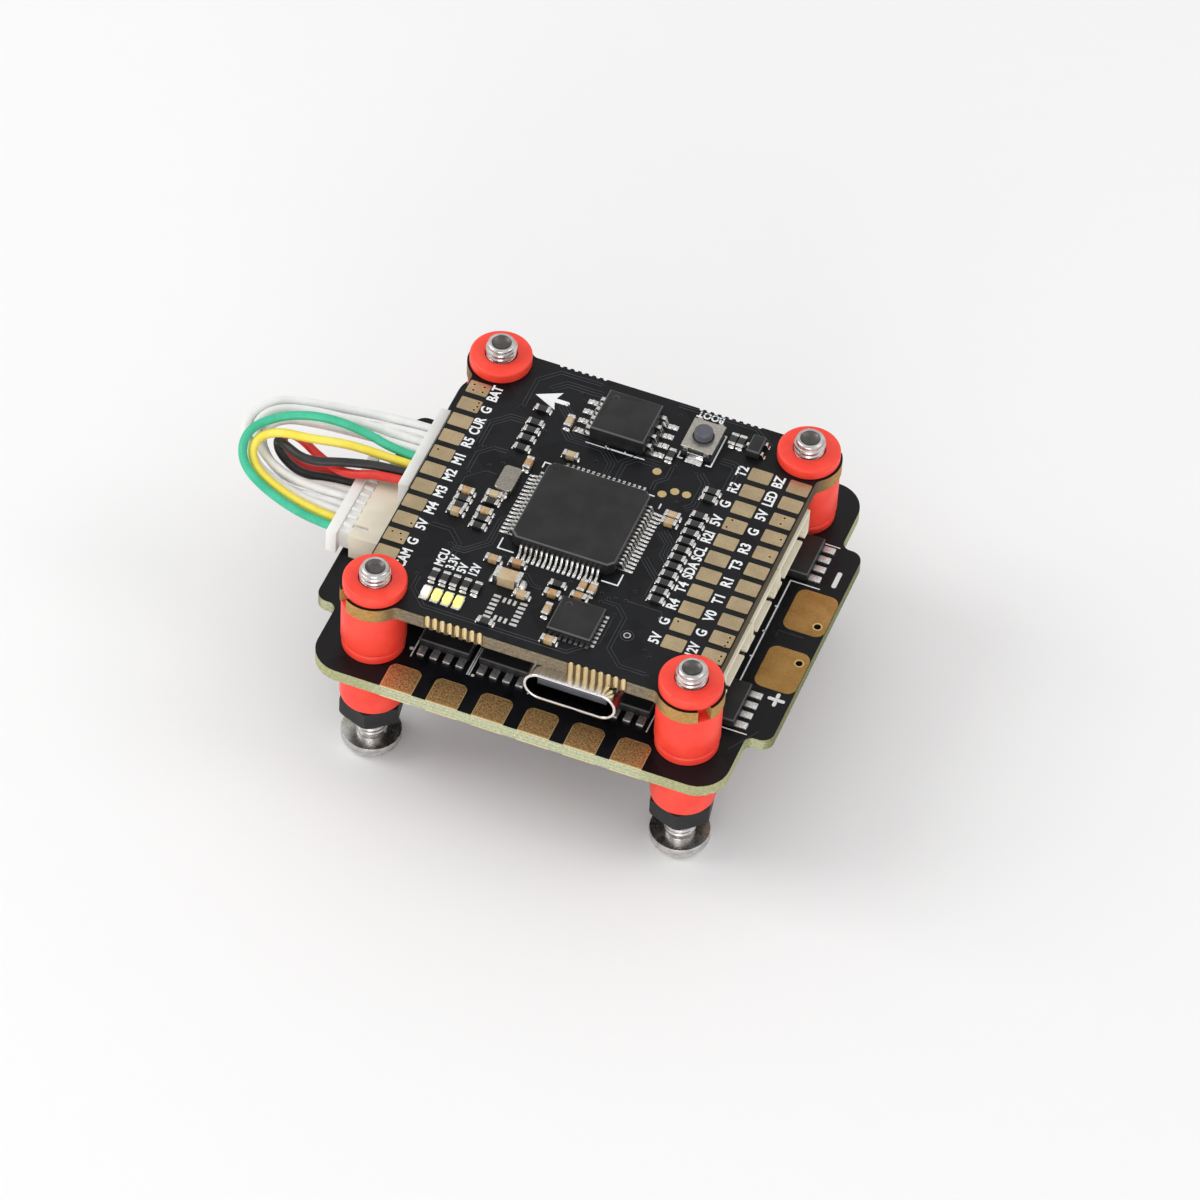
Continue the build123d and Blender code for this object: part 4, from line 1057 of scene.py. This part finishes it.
for chip, spec in solderPads.items():
    pad = soften(box((0, 0, 0), spec["pad"], -1), spec["round"])
    keep(copyTo(pad, padRow(spec, spec["padOut"]), chip + "Pads"), "stack", "tinned_metal", solder)
    heap = solderHeap(*spec["heap"])
    keep(copyTo(heap, padRow(spec, spec["heapOut"]), chip + "Solder"), "stack", "tinned_metal", solder)
print("chips ready")

# small two-ended parts
endBoxes = loosePieces("chip_ends")
keepCad("chip_capacitors", "capacitorMiddles", 0.05, "ceramic_tan", ceramicTan)
keepCad("chip_resistors", "resistorMiddles", 0.04, "resistor_black", blackGlaze)
keepCad("chip_ends", "chipEndCaps", 0.07, "tinned_metal", tin)
keepCad("filter_capacitors", "filterCapacitorBodies", 0.1, "ceramic_tan", ceramicTan)
keepCad("bulk_capacitor", "bulkCapacitorBody", 0.06, "ceramic_tan", ceramicTan)

smallSolder = {"length": 0.16, "width": 0.7, "height": 0.2, "toe": 0.05, "apart": 1.16, "step": 0.17}
heapPlaces = []
for low, high in endBoxes:
    middle = (low + high) / 2
    # the other end of the same part lies one part length away, along or across
    partner = min((other for other in endBoxes if other[0] != low),
                  key=lambda other: abs(((other[0] + other[1]) / 2 - middle).length - smallSolder["apart"]))
    away = middle - (partner[0] + partner[1]) / 2
    lies = abs(away.x) > abs(away.y)
    turn = (0 if away.x > 0 else 180) if lies else (90 if away.y > 0 else 270)
    step = smallSolder["step"] + smallSolder["length"] / 2
    heapPlaces.append((middle.x + step * cos(radians(turn)), middle.y + step * sin(radians(turn)), fcTop, turn))
heap = solderHeap(*(smallSolder[key] for key in ("length", "width", "height", "toe")))
keep(copyTo(heap, heapPlaces, "smallPartSolder"), "stack", "tinned_metal", solder)

bulk = {"end": (0.5, 1.36, 1.24), "round": 0.08, "endOut": 1.05, "heap": (0.45, 1.3, 0.5, 0.06), "heapOut": 1.5}
low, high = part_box("bulk_capacitor")
capMiddle = (low + high) / 2 / mm
capEnds = copyTo(soften(box((0, 0, 0), bulk["end"], -1), bulk["round"]),
                 [(capMiddle.x - bulk["endOut"], capMiddle.y, fcTop, 0),
                  (capMiddle.x + bulk["endOut"], capMiddle.y, fcTop, 180)], "bulkCapacitorEnds")
keep(capEnds, "stack", "tinned_metal", tin)
capHeap = copyTo(solderHeap(*bulk["heap"]),
                 [(capMiddle.x + bulk["heapOut"], capMiddle.y, fcTop, 0),
                  (capMiddle.x - bulk["heapOut"], capMiddle.y, fcTop, 180)], "bulkCapacitorSolder")
keep(capHeap, "stack", "tinned_metal", solder)
keepCad("crystal", "crystalCanShell", 0.0, "crystal_can", crystalCan, 30)
crystalSolder = {"heap": (0.5, 1.1, 0.25, 0.05), "places": ((-8.88, 2.9, 90), (-8.88, -0.6, 270))}
crystalFeet = copyTo(solderHeap(*crystalSolder["heap"]),
                     [(x, y, fcTop, turn) for x, y, turn in crystalSolder["places"]], "crystalSolder")
keep(crystalFeet, "stack", "tinned_metal", solder)
print("small parts ready")

# indicator lamps
keepCad("led_bases", "lampBases", 0.04, "led_base", lampBase)
keepCad("led_lenses", "lampLenses", 0.09, "led_resin", lampResin, 30)
lamps = {"foot": (0.8, 0.34, 0.3), "round": 0.06, "x": (-10.65, -9.6, -8.55, -7.5), "y": (-15.12, -13.68)}
lampFoot = soften(box((0, 0, 0), lamps["foot"], -1), lamps["round"])
lampFeet = copyTo(lampFoot, [(x, y, fcTop, 0) for x in lamps["x"] for y in lamps["y"]], "lampFeet")
keep(lampFeet, "stack", "tinned_metal", solder)
print("lamps ready")

# boot switch
bootSwitch = {"edge": 0.05, "centre": (5.77, 12.8), "tab": (0.5, 0.2, 0.45), "tabPlace": (1.02, 1.97, 1.18),
              "ring": (1.03, 0.12, 0.02)}
keepCad("boot_switch_base", "switchBody", bootSwitch["edge"], "switch_plastic", switchBase)
keepCad("boot_switch_cover", "switchPlate", bootSwitch["edge"], "switch_cover", coverMetal)
paint(tin, "boot_switch_dome")
keepCad("boot_switch_terminals", "switchFeet", 0.05, "tinned_metal", solder)
keep(fromCad("boot_button", "bootButton", 0.06, 30), "button", "button_grey", buttonGrey, "boot_button")
tab = soften(box((0, 0, 0), bootSwitch["tab"], 1), 0.04)
switchX, switchY = bootSwitch["centre"]
tabX, tabY, tabLevel = bootSwitch["tabPlace"]
tabs = copyTo(tab, [(switchX + side * tabX, switchY + end * tabY, fcTop + tabLevel, 0)
                    for side in (-1, 1) for end in (-1, 1)], "switchTabs")
keep(tabs, "stack", "switch_cover", coverMetal)
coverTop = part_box("boot_switch_cover")[1].z / mm
switchRing = copyTo(ring(*bootSwitch["ring"], 40), [(switchX, switchY, coverTop, 0)], "switchRing")
keep(switchRing, "stack", "switch_plastic", switchBase)
print("boot switch ready")

# USB socket
keepCad("usb_shell", "usbShell", 0.05, "usb_steel", usbSteel, 30)
keepCad("usb_tongue", "usbTongue", 0.06, "usb_plastic", tongueGrey, 30)
paint(contactGold, "usb_contacts")
usbFeet = copyTo(soften(box((0, 0, 0), usb["foot"], 1), 0.08),
                 [(usb["middle"] + side * usb["reach"], y, fcBottom, 0)
                  for side in (-1, 1) for y in usb["feet"]], "usbFeet")
keep(usbFeet, "stack", "tinned_metal", solder)
print("socket ready")

# grommets: soft sleeves, rounded where they show
grommet = {"flange": 2.94, "skirt": 3.03, "neck": 1.98, "bore": 1.55,
           "upper": (fcBottom - 5.05, fcBottom, fcTop, fcTop + 1.2),
           "lower": (escBottom - 5.6, escBottom, escTop, escTop + 1.0),
           # width and steps of the rounding at each level: foot, under the board, over it, top
           "rounds": ((0.34, 4), (0.1, 2), (0.16, 3), (0.3, 5))}


def makeGrommet(levels, name):
    foot, under, over, top = levels
    footRound, underRound, overRound, topRound = grommet["rounds"]
    skirt = drum((0, 0, foot), grommet["skirt"], under - foot, 72)
    bevelRim(skirt, foot, *footRound)
    bevelRim(skirt, under, *underRound)
    neck = drum((0, 0, under - 0.3), grommet["neck"], over - under + 0.6, 72)
    flange = drum((0, 0, over), grommet["flange"], top - over, 72)
    bevelRim(flange, top, *topRound)
    bevelRim(flange, over, *overRound)
    combine(skirt, neck, "UNION")
    combine(skirt, flange, "UNION")
    combine(skirt, drum((0, 0, foot - 1), grommet["bore"], top - foot + 2, 48), "DIFFERENCE")
    smooth(skirt, 40)
    return copyTo(skirt, [(x, y, 0, 0) for x, y in corners], name)


keep(makeGrommet(grommet["upper"], "upperGrommets"), "stack", "red_silicone", redSilicone, "fc_grommets")
keep(makeGrommet(grommet["lower"], "lowerGrommets"), "stack", "red_silicone", redSilicone, "esc_grommets")
print("grommets ready")

# screws and nuts
screw = {"head": 2.85, "headHeight": 1.65, "headRound": 1.05, "headEdge": 0.12, "key": 2.0, "keyDepth": 1.0,
         "foot": 1.2, "tip": 23.65, "tipRound": 0.24, "crest": 1.49, "root": 1.3, "pitch": 0.5, "ridge": 0.25,
         # the dish in the tip: its flat rim, then how far each step sinks
         "rim": 0.08, "step": 0.17, "sinks": (0.14, 0.1, 0.05)}


def makeShank():
    core = drum((0, 0, screw["foot"]), screw["root"], screw["tip"] - screw["foot"], 40)
    bevelRim(core, screw["tip"], screw["tipRound"], 5)
    pick(core, "FACE", lambda centre, normal: normal.z > 0.99)
    bpy.ops.mesh.inset(thickness=screw["rim"] * mm)
    for sink in screw["sinks"]:
        bpy.ops.mesh.inset(thickness=screw["step"] * mm)
        bpy.ops.transform.translate(value=(0, 0, -sink * mm))
    leaveEdit()
    return smooth(core, 50)


def makeThread():
    # one round section, wound up the shank
    bpy.ops.object.select_all(action="DESELECT")
    turns = int((screw["tip"] - screw["headHeight"] - 0.45) / screw["pitch"])
    start = screw["tip"] - 0.4 - turns * screw["pitch"]
    bpy.ops.mesh.primitive_circle_add(vertices=8, radius=screw["ridge"] * mm, rotation=(pi / 2, 0, 0),
                                      location=((screw["crest"] - screw["ridge"]) * mm, 0, start * mm))
    thread = settle(bpy.context.object)
    bpy.context.scene.cursor.location = (0, 0, 0)
    applyModifier(thread, "SCREW", axis="Z", angle=2 * pi, screw_offset=screw["pitch"] * mm, iterations=turns,
                  steps=28, render_steps=28, use_merge_vertices=False)
    choose(thread)
    bpy.ops.object.mode_set(mode="EDIT")
    bpy.ops.mesh.select_all(action="SELECT")
    bpy.ops.mesh.fill_holes(sides=0)
    bpy.ops.mesh.select_all(action="SELECT")
    bpy.ops.mesh.normals_make_consistent(inside=False)
    leaveEdit()
    return smooth(thread, 40)


def makeHead():
    head = drum((0, 0, 0), screw["head"], screw["headHeight"], 64)
    bevelRim(head, 0, screw["headRound"], 8)
    bevelRim(head, screw["headHeight"], screw["headEdge"], 2)
    combine(head, drum((0, 0, -1), screw["key"] / 3 ** 0.5, 1 + screw["keyDepth"], 6), "DIFFERENCE")
    return smooth(head, 40)


screws = copyTo(merged([makeShank(), makeThread(), makeHead()], "screw"),
                [(x, y, 0, 40 * number) for number, (x, y) in enumerate(corners)], "stackScrews")
keep(screws, "stack", "screw_steel", screwSteel, "screws")

nut = {"flats": 5.5, "low": 4.65, "height": 2.0, "bore": 1.52, "turn": 40, "chamfer": 0.3}


def makeNut():
    # a hexagon with its corners turned off
    radius = nut["flats"] / 3 ** 0.5
    piece = drum((0, 0, nut["low"]), radius, nut["height"], 6)
    cone = drum((0, 0, nut["low"]), radius * 0.995, nut["height"], 64)
    bevelEdges(cone, nut["chamfer"], 3,
               lambda a, b: abs(a.z - b.z) < 0.01 and abs(a.xy.length - b.xy.length) < 0.01)
    combine(piece, cone, "INTERSECT")
    combine(piece, drum((0, 0, nut["low"] - 1), nut["bore"], nut["height"] + 2, 48), "DIFFERENCE")
    return smooth(piece, 30)


nuts = copyTo(makeNut(), [(x, y, 0, nut["turn"] + 30) for x, y in corners], "nylonNuts")
keep(nuts, "stack", "nut_black", nutNylon, "nuts")
print("fasteners ready")

# floor and light
studio = {"floor": (0.86, 0.86, 0.86), "world": 0.78,
          # place, size, power
          "lamps": (((-0.42, -0.12, 0.38), 0.30, 1.1), ((0.10, -0.52, 0.09), 0.30, 1.15),
                    ((0.36, 0.10, 0.40), 0.25, 0.35))}


def setStudio():
    bpy.ops.object.select_all(action="DESELECT")
    bpy.ops.mesh.primitive_plane_add(size=6, location=(0, 0, -0.00002))
    floor = bpy.context.object
    floor.name = "floor"
    recipe = Recipe("paleFloor", Specular_IOR_Level=0.2)
    speck = recipe.noise(0.3, 2.0)
    tone = studio["floor"]
    floor.data.materials.append(recipe.use(
        Base_Color=recipe.mix(speck, tone, tuple(v * 0.99 for v in tone)),
        Roughness=recipe.between(speck, 0.6, 0.7)))
    world = bpy.data.worlds.new("studio")
    world.use_nodes = True
    background = world.node_tree.nodes["Background"]
    background.inputs[0].default_value = (1.0, 1.0, 1.0, 1)
    background.inputs[1].default_value = studio["world"]
    bpy.context.scene.world = world
    for place, size, power in studio["lamps"]:
        data = bpy.data.lights.new("softbox", "AREA")
        data.shape = "SQUARE"
        data.size = size
        data.energy = power
        lamp = bpy.data.objects.new("softbox", data)
        lamp.location = place
        lamp.rotation_euler = (Vector((0, 0, 0.015)) - Vector(place)).to_track_quat("-Z", "Y").to_euler()
        bpy.context.scene.collection.objects.link(lamp)
    bpy.context.scene.view_settings.view_transform = "Standard"


setStudio()
clearSelection()
print("studio set")
